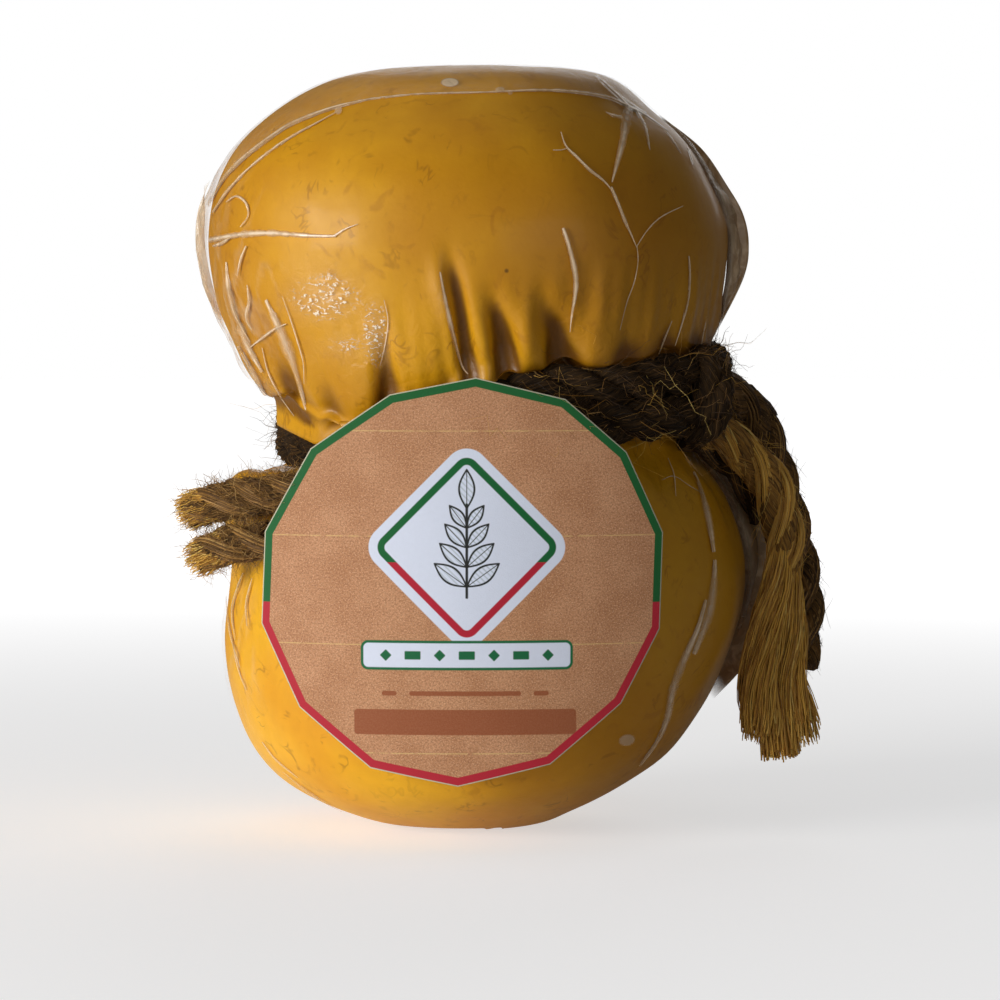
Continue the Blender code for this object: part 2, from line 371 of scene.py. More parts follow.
def guide_mesh(paths, closed=False):
    """Paths as loose edges. A point is x, y, z and how wide the thing on it is there, in mm."""
    mesh = bpy.data.meshes.new("guide")
    points, edges = [], []
    for path in paths:
        first = len(points)
        points.extend(path)
        edges.extend((k, k + 1) for k in range(first, len(points) - 1))
        if closed:
            edges.append((len(points) - 1, first))
    mesh.from_pydata([Vector(p[:3]) * MM for p in points], edges, [])
    carry(mesh, "width", [p[3] * MM for p in points])
    return mesh


# ---------------------------------------------------------------- geometry trees

def new_tree(name, inputs):
    """A Geometry Nodes tree with named inputs, as its net and its inputs by name."""
    tree = bpy.data.node_groups.new(name, "GeometryNodeTree")
    tree.interface.new_socket("Guide", in_out="INPUT", socket_type="NodeSocketGeometry")
    for label, kind in inputs.items():
        tree.interface.new_socket(label, in_out="INPUT", socket_type="NodeSocket" + kind)
    tree.interface.new_socket("Mesh", in_out="OUTPUT", socket_type="NodeSocketGeometry")
    net = Net(tree)
    given = net.add("NodeGroupInput")
    return net, {label: given.out(label) for label in ["Guide", *inputs]}


def close_tree(net, mesh, material):
    """Ends a tree with its instances made real, smooth faces and a material."""
    whole = net.add("GeometryNodeRealizeInstances", None, {"Geometry": mesh})
    soft = net.add("GeometryNodeSetShadeSmooth", None, {"Geometry": whole})
    painted = net.add("GeometryNodeSetMaterial", None, {"Geometry": soft, "Material": material})
    net.add("NodeGroupOutput", None, {0: painted})
    return net.tree


def swept(net, line, ring, size, material):
    """The ring carried along the line at this size, as the tree's mesh."""
    sockets = {"Curve": line, "Profile Curve": ring, "Scale": size, "Fill Caps": True}
    return close_tree(net, net.add("GeometryNodeCurveToMesh", None, sockets), material)


def grown(tree, name, guide, values):
    """The plain mesh that a tree makes on a guide mesh."""
    helper = bpy.data.objects.new(name + "_guide", guide)
    bpy.context.scene.collection.objects.link(helper)
    maker = helper.modifiers.new("maker", "NODES")
    maker.node_group = tree
    named = {item.name: item.identifier for item in tree.interface.items_tree if item.in_out == "INPUT"}
    for key, value in values.items():
        maker[named[key]] = value
    graph = bpy.context.evaluated_depsgraph_get()
    made = bpy.data.meshes.new_from_object(
        helper.evaluated_get(graph), preserve_all_data_layers=True, depsgraph=graph
    )
    bpy.data.objects.remove(helper)
    made.name = name
    return made


def named_value(net, name, kind="FLOAT"):
    """What the points carry under this name."""
    return net.add("GeometryNodeInputNamedAttribute", {"data_type": kind}, {"Name": name})


def store(net, geometry, name, value, kind="FLOAT"):
    """The geometry with a value that its points carry under this name."""
    sockets = {"Geometry": geometry, "Name": name, "Value": value}
    return net.add("GeometryNodeStoreNamedAttribute", {"data_type": kind, "domain": "POINT"}, sockets)


def chance_value(net, low, high, seed, number=None):
    """A random value for each point, or for each number that is given."""
    sockets = {2: low, 3: high, "Seed": seed}
    if number is not None:
        sockets["ID"] = number
    return net.add("FunctionNodeRandomValue", {"data_type": "FLOAT"}, sockets, out=1)


def guide_line(net, given, mode, **spacing):
    """The guide as curves with evenly spaced points."""
    line = net.add("GeometryNodeMeshToCurve", None, {0: given["Guide"]})
    return net.add("GeometryNodeResampleCurve", {"mode": mode}, {"Curve": line, **spacing})


def copied(net, line, count):
    """So many copies of the line, and the number of each."""
    sockets = {"Geometry": line, "Amount": count}
    copies = net.add("GeometryNodeDuplicateElements", {"domain": "SPLINE"}, sockets)
    return copies, copies.out("Duplicate Index")


def ring_of(net, sides, radius=1.0):
    return net.add("GeometryNodeCurvePrimitiveCircle", None, {"Resolution": sides, "Radius": radius})


def around(net, angle, reach):
    """An offset of this reach from the curve, at this angle round it."""
    normal = net.add("GeometryNodeInputNormal")
    side = net.vector("CROSS_PRODUCT", net.add("GeometryNodeInputTangent"), normal)
    along_normal = net.scaled(normal, net.maths("COSINE", angle) * reach)
    along_side = net.scaled(side, net.maths("SINE", angle) * reach)
    return net.vector("ADD", along_normal, along_side)


def wander(net, seed, size, amount):
    """A random offset that changes slowly from place to place."""
    spot = net.scaled(net.add("GeometryNodeInputPosition"), 1 / MM)
    spot = net.vector("DIVIDE", spot, net.joined(size, size, size))
    spot = net.vector("ADD", spot, net.joined(seed * 7.3, seed * 3.1, seed * 5.7))
    found = net.noise(spot, 1.0, detail=1.0).out("Color")
    centred = net.vector("SUBTRACT", found, (0.5, 0.5, 0.5))
    return net.scaled(centred, amount)


def laid_rope_tree():
    """A rope laid from strands, each with yarns on its surface, along the guide."""
    net, given = new_tree("laid rope", {
        "Strands": "Int", "Lay Radius": "Float", "Strand Radius": "Float", "Turns": "Float",
        "Step": "Float", "Yarns": "Float", "Yarn Depth": "Float", "Yarn Turns": "Float",
        "Wander": "Float", "Seed": "Float", "Material": "Material",
    })
    line = guide_line(net, given, "LENGTH", Length=given["Step"])
    copies, number = copied(net, line, given["Strands"])
    share = net.add("GeometryNodeSplineParameter")
    width = named_value(net, "width")
    angle = share * given["Turns"] * TURN + number * TURN / given["Strands"]
    offset = around(net, angle, width * given["Lay Radius"])
    quirk = wander(net, given["Seed"] + number * 2.0, 3.0, width * given["Wander"])
    offset = net.vector("ADD", offset, quirk)
    strands = net.add("GeometryNodeSetPosition", None, {"Geometry": copies, "Offset": offset})
    strands = store(net, strands, "along", share.out("Length") / MM)
    strands = store(net, strands, "strand", number + given["Seed"])
    strands = store(net, strands, "lay", net.add("GeometryNodeInputTangent"), "FLOAT_VECTOR")
    tilt = share * given["Yarn Turns"] * TURN
    strands = net.add("GeometryNodeSetCurveTilt", None, {0: strands, "Tilt": tilt})
    turn = net.add("GeometryNodeSplineParameter") * TURN
    lobes = net.maths("COSINE", turn * given["Yarns"]) * given["Yarn Depth"] + 1.0
    rim = net.add("GeometryNodeInputPosition")
    ring = store(net, ring_of(net, 30), "wrap", rim, "FLOAT_VECTOR")
    lobed = net.scaled(rim, lobes * given["Strand Radius"])
    ring = net.add("GeometryNodeSetPosition", None, {"Geometry": ring, "Position": lobed})
    return swept(net, strands, ring, width, given["Material"])


def hair_tree():
    """Loose hairs that leave a rope's surface along its lay, curl, and thin out to a point."""
    net, given = new_tree("loose hairs", {
        "Density": "Float", "Length": "Float", "Rise": "Float", "Stray": "Float", "Curl": "Float",
        "Curl Size": "Float", "Thickness": "Float", "Points": "Int", "Seed": "Int", "Material": "Material",
    })
    spots = net.add("GeometryNodeDistributePointsOnFaces", {"distribute_method": "RANDOM"}, {
        "Mesh": given["Guide"], "Density": given["Density"], "Seed": given["Seed"],
    })
    normal, seed = spots.out("Normal"), given["Seed"]
    spots = store(net, spots, "shade", chance_value(net, 0.0, 1.0, seed))
    side = net.maths("SIGN", chance_value(net, -1.0, 1.0, seed + 1))
    stray = net.joined(*(chance_value(net, -1.0, 1.0, seed + k) for k in (2, 3, 4)))
    rise = given["Rise"] * chance_value(net, 0.2, 1.8, seed + 5)
    way = net.scaled(named_value(net, "lay", "FLOAT_VECTOR"), side)
    way = net.vector("ADD", way, net.scaled(normal, rise))
    way = net.vector("ADD", way, net.scaled(stray, given["Stray"]))
    straight = net.add("GeometryNodeCurvePrimitiveLine", None, {"Start": (0, 0, 0), "End": (0, 0, 1)})
    sockets = {"Curve": straight, "Count": given["Points"]}
    straight = net.add("GeometryNodeResampleCurve", {"mode": "COUNT"}, sockets)
    turned = net.add("FunctionNodeAlignRotationToVector", {"axis": "Z"}, {"Vector": way})
    long = given["Length"] * chance_value(net, 0.35, 1.5, seed + 6)
    hairs = net.add("GeometryNodeInstanceOnPoints", None, {
        "Points": spots, "Instance": straight, "Rotation": turned, "Scale": net.joined(long, long, long),
    })
    hairs = net.add("GeometryNodeRealizeInstances", None, {"Geometry": hairs})
    share = net.add("GeometryNodeSplineParameter")
    bend = wander(net, named_value(net, "shade") * 9.0, given["Curl Size"], given["Curl"] * share)
    hairs = net.add("GeometryNodeSetPosition", None, {"Geometry": hairs, "Offset": bend})
    thickness = given["Thickness"] * (1.0 - share * 0.65)
    return swept(net, hairs, ring_of(net, 3), thickness, given["Material"])


def fibre_tree():
    """Loose fibres side by side along the guide, spread over its width."""
    net, given = new_tree("loose fibres", {
        "Count": "Int", "Points": "Int", "Thickness": "Float", "Waviness": "Float", "Wave Size": "Float",
        "Shortest": "Float", "Rounding": "Float", "Nearest": "Float", "Seed": "Int", "Material": "Material",
    })
    line = guide_line(net, given, "COUNT", Count=given["Points"])
    copies, number = copied(net, line, given["Count"])
    seed = given["Seed"]
    turn = chance_value(net, 0.0, TURN, seed, number)
    reach = net.maths("SQRT", chance_value(net, given["Nearest"], 1.0, seed + 1, number))
    shade = chance_value(net, 0.0, 1.0, seed + 2, number)
    offset = around(net, turn, named_value(net, "width") * reach)
    bend = wander(net, shade * 9.0, given["Wave Size"], given["Waviness"])
    offset = net.vector("ADD", offset, bend)
    fibres = net.add("GeometryNodeSetPosition", None, {"Geometry": copies, "Offset": offset})
    fibres = store(net, fibres, "shade", shade)
    end = chance_value(net, given["Shortest"], 1.0, seed + 3, number)
    end = end - given["Rounding"] * reach * reach
    fibres = net.add("GeometryNodeTrimCurve", {"mode": "FACTOR"}, {"Curve": fibres, 3: end})
    return swept(net, fibres, ring_of(net, 3), given["Thickness"], given["Material"])


def ridge_tree():
    """Creased film lying as low soft ridges along the guide, pressed flat onto what is under it."""
    net, given = new_tree("film ridges", {"Step": "Float", "Flatness": "Float", "Material": "Material"})
    line = guide_line(net, given, "LENGTH", Length=given["Step"])
    spot = net.add("GeometryNodeInputPosition")
    line = store(net, line, "centre", spot, "FLOAT_VECTOR")
    rough = net.noise(net.scaled(spot, 1 / MM), 1.4)
    line = store(net, line, "size", named_value(net, "width") * (0.45 + rough * 1.1))
    size = named_value(net, "size")
    sockets = {"Curve": line, "Profile Curve": ring_of(net, 12, 0.5), "Scale": size, "Fill Caps": True}
    tube = net.add("GeometryNodeCurveToMesh", None, sockets)
    off = net.vector("SUBTRACT", spot, named_value(net, "centre", "FLOAT_VECTOR"))
    lie = named_value(net, "lie", "FLOAT_VECTOR")
    up = net.vector("DOT_PRODUCT", off, lie, out="Value")
    flat = net.vector("SUBTRACT", off, net.scaled(lie, up))
    tube = store(net, tube, "edge", net.length(flat) / (size * 0.5))
    flatness = given["Flatness"] * net.smaller(0.8 * MM / size, 1.0)
    sockets = {"Geometry": tube, "Offset": net.scaled(lie, up * (flatness - 1.0))}
    tube = net.add("GeometryNodeSetPosition", None, sockets)
    return close_tree(net, tube, given["Material"])


# ---------------------------------------------------------------- finishes

def paint_cheese(net):
    """Smoked rind: ochre with brown clouds, scribbles and specks, with painted shade: darker on the upper
    belly, browner on the right, and darker in the folds and hollows, where smoke darkens it too.
    """
    spot = places(net)
    hollow_shade = carried(net, "hollow_shade")
    x, y, z = net.split(spot)
    cloud = net.ramp(net.noise(spot, 0.045, detail=3.0), 0.36, 0.66)
    # Painted shade: the upper belly is painted darker and the lower one lighter, for light that comes from
    # low on the left.
    upper = net.ramp(z + net.noise(spot, 0.08) * 12.0, 44.0, 62.0)
    bright = net.mix(upper, rgb(244, 184, 30), rgb(222, 162, 18))
    deep = net.mix(upper, rgb(230, 160, 12), rgb(200, 138, 6))
    colour = net.mix(cloud, bright, deep)
    # Painted shade: browner towards the right, the side turned away from the light.
    painted_shade_right = net.ramp(x - y * 0.25 + net.noise(spot, 0.06, detail=2.0) * 16.0, 8.0, 42.0)
    colour = net.mix(painted_shade_right * 0.6, colour, rgb(140, 90, 6))
    colour = net.mix(net.noise(spot, 0.6, detail=4.0) * 0.25, colour, rgb(164, 98, 4))
    scribble = net.noise(spot, 0.2, detail=2.0, roughness=0.5, bend=1.6)
    thin = 1.0 - net.ramp(net.unsigned(scribble - 0.5), 0.0, 0.045)
    patchy = net.ramp(net.noise(net.vector("ADD", spot, (31.0, 7.0, 12.0)), 0.3, detail=2.0), 0.53, 0.64)
    there = 0.35 + 0.65 * net.ramp(net.noise(spot, 0.07), 0.45, 0.6)
    colour = net.mix(thin * patchy * there * 0.45, colour, rgb(130, 74, 2))
    stain = net.noise(net.vector("ADD", spot, (5.0, 17.0, 2.0)), 0.3, detail=3.0, bend=1.2)
    colour = net.mix(net.ramp(stain, 0.6, 0.74) * 0.28, colour, rgb(150, 86, 6))
    cells = net.add("ShaderNodeTexVoronoi", None, {"Vector": spot, "Scale": 0.11}, out="Distance")
    colour = net.mix((1.0 - net.ramp(cells, 0.02, 0.045)) * 0.75, colour, rgb(60, 34, 12))
    # Painted shade, partly smoke: darker in the hollows and gathers, and a painted shadow under the lip over
    # the rope.
    colour = net.mix(net.ramp(hollow_shade, 0.1, 1.0) * 0.82, colour, rgb(86, 44, 4))
    wrinkled = carried(net, "wrinkled")
    peel = net.noise(spot, 1.6, detail=2.0) * 0.02
    crumple = net.noise(spot, 0.7, detail=2.0, bend=0.6) * wrinkled * 0.35
    rough = 0.46 + net.noise(spot, 0.3) * 0.12 - wrinkled * 0.3
    return {"Base Color": colour, "Roughness": rough, "Normal": net.bump(peel + crumple)}


# Pale spots on the film's front: place to the right and up, half sizes in mm, and strength.
SPOTS = [
    (-1.9, 91.3, 1.1, 0.6, 0.75), (4.1, 90.4, 0.6, 0.35, 0.45), (19.3, 12.7, 1.0, 0.75, 0.4),
    (-15.2, 88.0, 0.45, 0.6, 0.4), (5.3, 90.0, 0.3, 0.3, 0.3),
]


def paint_film(net):
    """Clear film: seen only where it is folded, veiled or stands off the cheese, and where glints are painted
    on it as highlights.
    """
    spot = places(net)
    veil = carried(net, "veil")
    streaks = net.noise(net.vector("MULTIPLY", spot, (0.5, 0.5, 0.09)), 1.0, detail=3.0, bend=0.8)
    cloudy = 0.75 + net.ramp(streaks, 0.4, 0.75) * 0.6
    fold = net.noise(spot, 0.35, detail=3.0, roughness=0.6, bend=0.8)
    welded = carried(net, "welded")
    stiff = net.mix(net.ramp(fold, 0.48, 0.64), rgb(170, 134, 90), rgb(208, 176, 134))
    colour = net.mix(welded, rgb(240, 218, 184), stiff)
    glint_patch = carried(net, "glint_patch")
    # Painted highlight: flecks and drops of glint in the glossiest patches.
    slanted = net.vector("MULTIPLY", spot, (1.0, 1.0, 1.7))
    glint_flecks = net.ramp(net.noise(slanted, 1.5, detail=3.0, roughness=0.65, bend=0.9), 0.54, 0.63)
    drop_glints = net.add("ShaderNodeTexVoronoi", None, {"Vector": spot, "Scale": 0.85}, out="Distance")
    glint_flecks = net.larger(glint_flecks, 1.0 - net.ramp(drop_glints, 0.1, 0.2))
    glint = net.ramp(glint_patch + net.noise(spot, 0.35) * 0.5, 0.6, 0.95) * glint_flecks * 0.92 + glint_patch * 0.13
    # Painted highlight: the glint patch is painted near white.
    colour = net.mix(glint_patch, colour, rgb(255, 244, 222))
    glints_and_spots = glint
    x, y, z = net.split(spot)
    for across, up, half_width, half_height, share in SPOTS:
        away = net.joined((x - across) / half_width, 0.0, (z - up) / half_height)
        here = 1.0 - net.ramp(net.length(away), 0.75, 1.15)
        glints_and_spots = net.larger(glints_and_spots, here * net.ramp(y, 0.0, -2.0) * share)
    alpha = net.smaller(net.larger(veil * cloudy, glints_and_spots), 0.96)
    rough = 0.14 + net.noise(spot, 0.8) * 0.1 + welded * 0.22
    return {"Base Color": colour, "Alpha": alpha, "Roughness": rough, "Normal": net.bump(fold * 0.35, 0.8)}


def paint_ridges(net):
    """Folded film, and pale ridges painted as highlights: palest along its middle, fading out to both sides,
    and clearer where it is broad.
    """
    spot = places(net)
    edge = carried(net, "edge")
    core = 1.0 - net.ramp(edge, 0.1, 0.55)
    broad = net.ramp(carried(net, "size"), 0.9 * MM, 2.2 * MM)
    body = (1.0 - net.ramp(edge, 0.5, 1.0)) * (0.3 + net.noise(spot, 1.1, detail=2.0) * 0.35)
    core_seen = core * net.ramp(net.noise(spot, 0.5, detail=2.0), 0.35, 0.6) * 0.6
    alpha = net.smaller(body + core_seen, 0.92)
    return {
        "Base Color": net.mix(core, rgb(226, 190, 140), rgb(248, 226, 196)),
        "Alpha": alpha * (1.0 - broad * 0.62), "Roughness": 0.12 + net.noise(spot, 0.9) * 0.12,
    }


def paint_jute(net, dark=rgb(40, 26, 14), light=rgb(142, 103, 52), bright=rgb(196, 154, 84)):
    """Laid strands: fine fibres along each strand, with painted shade that makes them dark in the valleys,
    and golden here and there.
    """
    wrap = carried(net, "wrap", "Vector")
    along, strand = carried(net, "along"), carried(net, "strand")
    x, y, _ = net.split(wrap)
    flow = net.joined(x + strand * 3.7, y, along * 0.045)
    fibres = net.noise(flow, 9.0, detail=4.0, roughness=0.7)
    coarse = net.noise(flow, 2.6, detail=2.0)
    # Painted shade: the tone follows the fibres' bump, so the valleys are painted dark.
    tone = net.ramp(fibres * 0.65 + coarse * 0.35, 0.36, 0.68)
    colour = net.mix(tone, dark, light)
    lit = net.ramp(net.noise(flow, 17.0, detail=2.0), 0.6, 0.72)
    colour = net.mix(lit * 0.6, colour, bright)
    bump = net.bump(fibres * 0.35 + coarse * 0.2)
    return {"Base Color": colour, "Roughness": 0.72 + fibres * 0.2, "Normal": bump}


def paint_gold_jute(net):
    """The strands of the rope that opens into the tassel."""
    return paint_jute(net, rgb(62, 40, 16), rgb(190, 138, 62), rgb(232, 188, 110))


def paint_shaded_jute(net):
    """The strands round the waist: dark brown jute, painted darker still as shade, for the waist lies under
    the upper belly.
    """
    return paint_jute(net, rgb(20, 13, 8), rgb(80, 57, 28), rgb(146, 108, 56))


def hair_paint(dark, light, bright):
    """What paints loose fibres, each in its own shade and darker in patches."""
    def paint(net):
        shade = carried(net, "shade")
        colour = net.mix(net.ramp(shade, 0.1, 0.75), dark, light)
        colour = net.mix(net.ramp(shade, 0.8, 0.97), colour, bright)
        spot = places(net)
        colour = net.mix(net.noise(spot, 0.5, detail=2.0) * 0.5, colour, dark)
        return {"Base Color": colour, "Roughness": 0.5 + shade * 0.2}
    return paint


# The print on the label, in mm from its middle. A bar is its middle's place and its half sizes.
LABEL_SPAN = 52.0
LABEL_LINES = [17.7, 5.3, -7.5, -20.3]
LABEL_BARS = [
    (0.0, -13.2, 6.6, 0.28), (-9.0, -13.2, 0.9, 0.28), (9.0, -13.2, 0.9, 0.28), (0.0, -16.6, 13.2, 1.5),
]
PRINT_X = 0.2
PANEL_HEIGHT = 4.0
BANNER_HEIGHT = -8.7

# The leaves of the sprig: the place where each starts, its length, and how far it leans.
SPRIG = [(PRINT_X, 8.6, 4.6, 0.0)]
for row in range(4):
    for side in (-1, 1):
        SPRIG.append((PRINT_X, -0.6 + 2.3 * row, 4.7 - 0.45 * row, side * (0.95 - 0.1 * row)))


def paint_label(net):
    """Kraft paper with a printed two-colour rim, pale lines, and a plain leaf sprig on a white field."""
    u, v, _ = net.split(net.scaled(net.add("ShaderNodeUVMap", {"uv_map": "flat"}), LABEL_SPAN))
    u, v = u - LABEL_SPAN / 2, v - LABEL_SPAN / 2
    flat = net.joined(u, v, 0.0)
    rim = carried(net, "rim")

    def inside(distance, soft=0.07):
        """1 where the distance is below nought, with a soft printed edge."""
        return 1.0 - net.ramp(distance, -soft, soft)

    def field(across, up, half_across, half_up, lean=0.0, corner=0.0):
        """Distance to a rectangle with round corners."""
        a, b = u - across, v - up
        if lean:
            a, b = a * math.cos(lean) + b * math.sin(lean), b * math.cos(lean) - a * math.sin(lean)
        a = net.unsigned(a) - (half_across - corner)
        b = net.unsigned(b) - (half_up - corner)
        outer = net.length(net.joined(net.larger(a, 0.0), net.larger(b, 0.0), 0.0))
        return outer + net.smaller(net.larger(a, b), 0.0) - corner

    def leaf(across, up, length, lean):
        """Roughly the distance to a pointed leaf that starts at a place and leans this far from upright."""
        a, b = u - across, v - up
        along = a * math.sin(lean) + b * math.cos(lean)
        off = net.unsigned(a * math.cos(lean) - b * math.sin(lean))
        share = net.smaller(net.larger(along / length, 0.0), 1.0)
        width = net.maths("SINE", share * math.pi) * length * 0.2
        beyond = net.larger(net.larger(-along, along - length), 0.0)
        return off - width + beyond + 0.02, off

    grain = net.noise(flat, 4.2, detail=2.0, roughness=0.7)
    cloud = net.noise(flat, 0.16, detail=4.0, roughness=0.6)
    colour = net.mix(net.ramp(cloud, 0.3, 0.7), rgb(205, 152, 112), rgb(186, 132, 92))
    colour = net.mix(net.ramp(grain, 0.42, 0.64) * 0.6, colour, rgb(146, 98, 68))
    salt = net.ramp(net.noise(flat, 6.5, detail=1.0), 0.56, 0.68)
    colour = net.mix(salt * 0.5, colour, rgb(236, 194, 154))
    for height in LABEL_LINES:
        line = inside(net.unsigned(v - height) - 0.06, 0.05)
        worn = net.ramp(net.noise(flat, 0.8), 0.3, 0.5)
        colour = net.mix(line * worn * 0.6, colour, rgb(226, 196, 128))
    brown, white = rgb(150, 82, 48), rgb(224, 232, 250)
    ink, green = rgb(34, 36, 34), rgb(18, 104, 62)
    for across, up, half_across, half_up in LABEL_BARS:
        bar = inside(field(across, up, half_across, half_up, corner=min(0.45, half_up)))
        colour = net.mix(bar * (0.82 + grain * 0.2), colour, brown)
    panel = field(PRINT_X, PANEL_HEIGHT, 9.0, 9.0, math.pi / 4, 2.6)
    printed = net.mix(net.ramp(v, 2.2, 2.3), rgb(182, 28, 50), rgb(6, 98, 46))
    white_paint = net.mix(net.noise(flat, 2.0, detail=2.0) * 0.2, white, rgb(200, 206, 222))
    colour = net.mix(inside(panel), colour, white_paint)
    colour = net.mix(inside(net.unsigned(panel + 1.5) - 0.42), colour, printed)
    stem = inside(field(PRINT_X, 3.6, 0.16, 5.6, corner=0.1))
    colour = net.mix(stem, colour, ink)
    for across, up, length, lean in SPRIG:
        blade, off = leaf(across, up, length, lean)
        vein = inside(off - 0.05, 0.05) * inside(blade, 0.05)
        outline = inside(net.unsigned(blade) - 0.12, 0.06) + vein
        shade = inside(blade) * net.ramp(net.maths("SINE", (u + v) * 9.0), 0.2, 0.6) * 0.25
        colour = net.mix(shade, colour, rgb(60, 110, 70))
        colour = net.mix(net.smaller(outline, 1.0), colour, ink)
    banner = field(PRINT_X, BANNER_HEIGHT, 12.6, 1.75, corner=0.9)
    colour = net.mix(inside(banner), colour, green)
    colour = net.mix(inside(banner + 0.32), colour, white_paint)
    for k in range(7):
        half_across, lean = (0.95, 0.0) if k % 2 else (0.5, math.pi / 4)
        seed = field(PRINT_X + (k - 3) * 3.2, BANNER_HEIGHT, half_across, 0.5, lean, 0.12)
        colour = net.mix(inside(seed), colour, green)
    rim_colour = net.mix(net.ramp(v, -2.75, -2.65), rgb(184, 26, 50), rgb(4, 96, 42))
    rim_colour = net.mix(grain * 0.06, rim_colour, rgb(120, 120, 90))
    colour = net.mix(1.0 - net.ramp(rim, 1.0, 1.1), colour, rim_colour)
    colour = net.mix(1.0 - net.ramp(rim, 0.1, 0.16), colour, rgb(196, 192, 168))
    fine = net.noise(flat, 7.0, detail=2.0)
    bump = net.bump(fine * 0.06 + grain * 0.05, 0.35)
    return {"Base Color": colour, "Roughness": 0.62 + grain * 0.14, "Normal": bump}


CHEESE_FINISH = finish(
    "smoked rind", paint_cheese, Coat_Weight=0.06, Coat_Roughness=0.12, Specular_IOR_Level=0.35
)
FILM_FINISH = finish("clear film", paint_film, Specular_IOR_Level=0.7)
RIDGE_FINISH = finish("creased film", paint_ridges, Specular_IOR_Level=0.7)
JUTE_FINISH = finish("laid jute", paint_jute, Specular_IOR_Level=0.25)
DARK_HAIR = finish("dark jute hair", hair_paint(rgb(28, 18, 10), rgb(98, 68, 34), rgb(178, 136, 72)))
GOLD_JUTE = finish("golden jute", paint_gold_jute, Specular_IOR_Level=0.25)
SHADED_JUTE = finish("shaded jute", paint_shaded_jute, Specular_IOR_Level=0.2)
BROWN_HAIR = finish("brown jute hair", hair_paint(rgb(70, 46, 20), rgb(156, 112, 54), rgb(212, 168, 96)))
PALE_HAIR = finish("pale jute hair", hair_paint(rgb(104, 72, 34), rgb(190, 142, 72), rgb(232, 190, 118)))
# Partly painted light: the jute's own gold, painted lighter still, as the tail and the loops that wear it lie
# in the cheese's shade.
GOLD_HAIR = finish("golden jute fibre", hair_paint(rgb(176, 122, 36), rgb(244, 192, 80), rgb(255, 226, 130)),
                   Sheen_Weight=0.4, Sheen_Roughness=0.4, Sheen_Tint=rgb(255, 214, 140))
LABEL_FINISH = finish("printed kraft paper", paint_label, Specular_IOR_Level=0.35)


# ---------------------------------------------------------------- camera and cords

def set_camera():
    """The camera at the photograph's viewing angle and frame."""
    camera = bpy.data.objects.new("camera", bpy.data.cameras.new("camera"))
    camera.data.lens = LENS
    camera.data.sensor_width = SENSOR
    camera.data.clip_start, camera.data.clip_end = 0.01, 10.0
    camera.location = EYE * MM
    camera.rotation_mode = "QUATERNION"
    camera.rotation_quaternion = VIEW_AHEAD.to_track_quat("-Z", "Y")
    bpy.context.scene.collection.objects.link(camera)
    bpy.context.scene.camera = camera


LAID_ROPE, HAIRS, FIBRES, RIDGES = laid_rope_tree(), hair_tree(), fibre_tree(), ridge_tree()
LAY = {
    "Strands": 3, "Lay Radius": 0.265, "Strand Radius": 0.272, "Step": 0.7 * MM, "Yarns": 7.0,
    "Yarn Depth": 0.09, "Wander": 0.12,
}
PITCH = 15.0


def rope_mesh(name, path, seed, closed=False, pitch=PITCH, colour=JUTE_FINISH):
    """A laid rope along a path, whose points carry its width."""
    length = path_length(path)
    turns = round(length / pitch) if closed else length / pitch
    return grown(LAID_ROPE, name, guide_mesh([path], closed), {
        **LAY, "Turns": float(turns), "Yarn Turns": float(-2 * round(turns)), "Seed": float(seed),
        "Material": colour,
    })


def hair_mesh(
    name, rope, density, length, seed, rise=0.15, stray=0.5, curl=2.4, curl_size=2.2, thickness=0.035,
    points=8, colour=DARK_HAIR,
):
    """Hairs on a rope: so many a square mm, so many mm long."""
    return grown(HAIRS, name, rope, {
        "Density": density * 1e6, "Length": length * MM, "Rise": rise, "Stray": stray,
        "Curl": curl * MM, "Curl Size": curl_size, "Thickness": thickness * MM, "Points": points,
        "Seed": seed, "Material": colour,
    })


def fibre_mesh(
    name, paths, count, seed, points=16, thickness=0.06, waviness=1.2, wave_size=5.0, shortest=0.8,
    rounding=0.0, nearest=0.02, colour=GOLD_HAIR,
):
    """So many fibres along each path, whose points carry how far they spread."""
    return grown(FIBRES, name, guide_mesh(paths), {
        "Count": count, "Points": points, "Thickness": thickness * MM, "Waviness": waviness * MM,
        "Wave Size": wave_size, "Shortest": shortest, "Rounding": rounding, "Nearest": nearest,
        "Seed": seed, "Material": colour,
    })


def strand_paths(path, pitch, strands=3, start=0.0, lay=0.3, strand=0.215):
    """The middle lines of the strands that wind round a path, whose points carry the rope's width."""
    path = np.array(path, float)
    ways = np.gradient(path[:, :3], axis=0)
    ways /= np.linalg.norm(ways, axis=1)[:, None]
    side = np.cross(ways[0], (0.3, 0.9, 0.3))
    walked = np.concatenate([[0], np.cumsum(np.linalg.norm(np.diff(path[:, :3], axis=0), axis=1))])
    lines = [[] for _ in range(strands)]
    for point, way, distance in zip(path, ways, walked):
        side = side - way * (side @ way)
        side /= np.linalg.norm(side)
        for k, line in enumerate(lines):
            angle = start + TURN * (distance / pitch + k / strands)
            out = math.cos(angle) * side + math.sin(angle) * np.cross(way, side)
            line.append((*(point[:3] + out * lay * point[3]), strand * point[3]))
    return lines


def joined(name, meshes):
    """One mesh of several, which keeps their materials and the numbers on their points."""
    parts = []
    for mesh in meshes:
        part = bpy.data.objects.new(name, mesh)
        bpy.context.scene.collection.objects.link(part)
        parts.append(part)
    with bpy.context.temp_override(active_object=parts[0], selected_editable_objects=parts):
        bpy.ops.object.join()
    mesh = parts[0].data
    bpy.data.objects.remove(parts[0])
    mesh.name = name
    return mesh


def widths(points, *sizes):
    """The points with a width at each, which runs evenly through the given sizes."""
    where = np.linspace(0, len(sizes) - 1, len(points))
    return [(*p[:3], float(np.interp(w, range(len(sizes)), sizes))) for p, w in zip(points, where)]


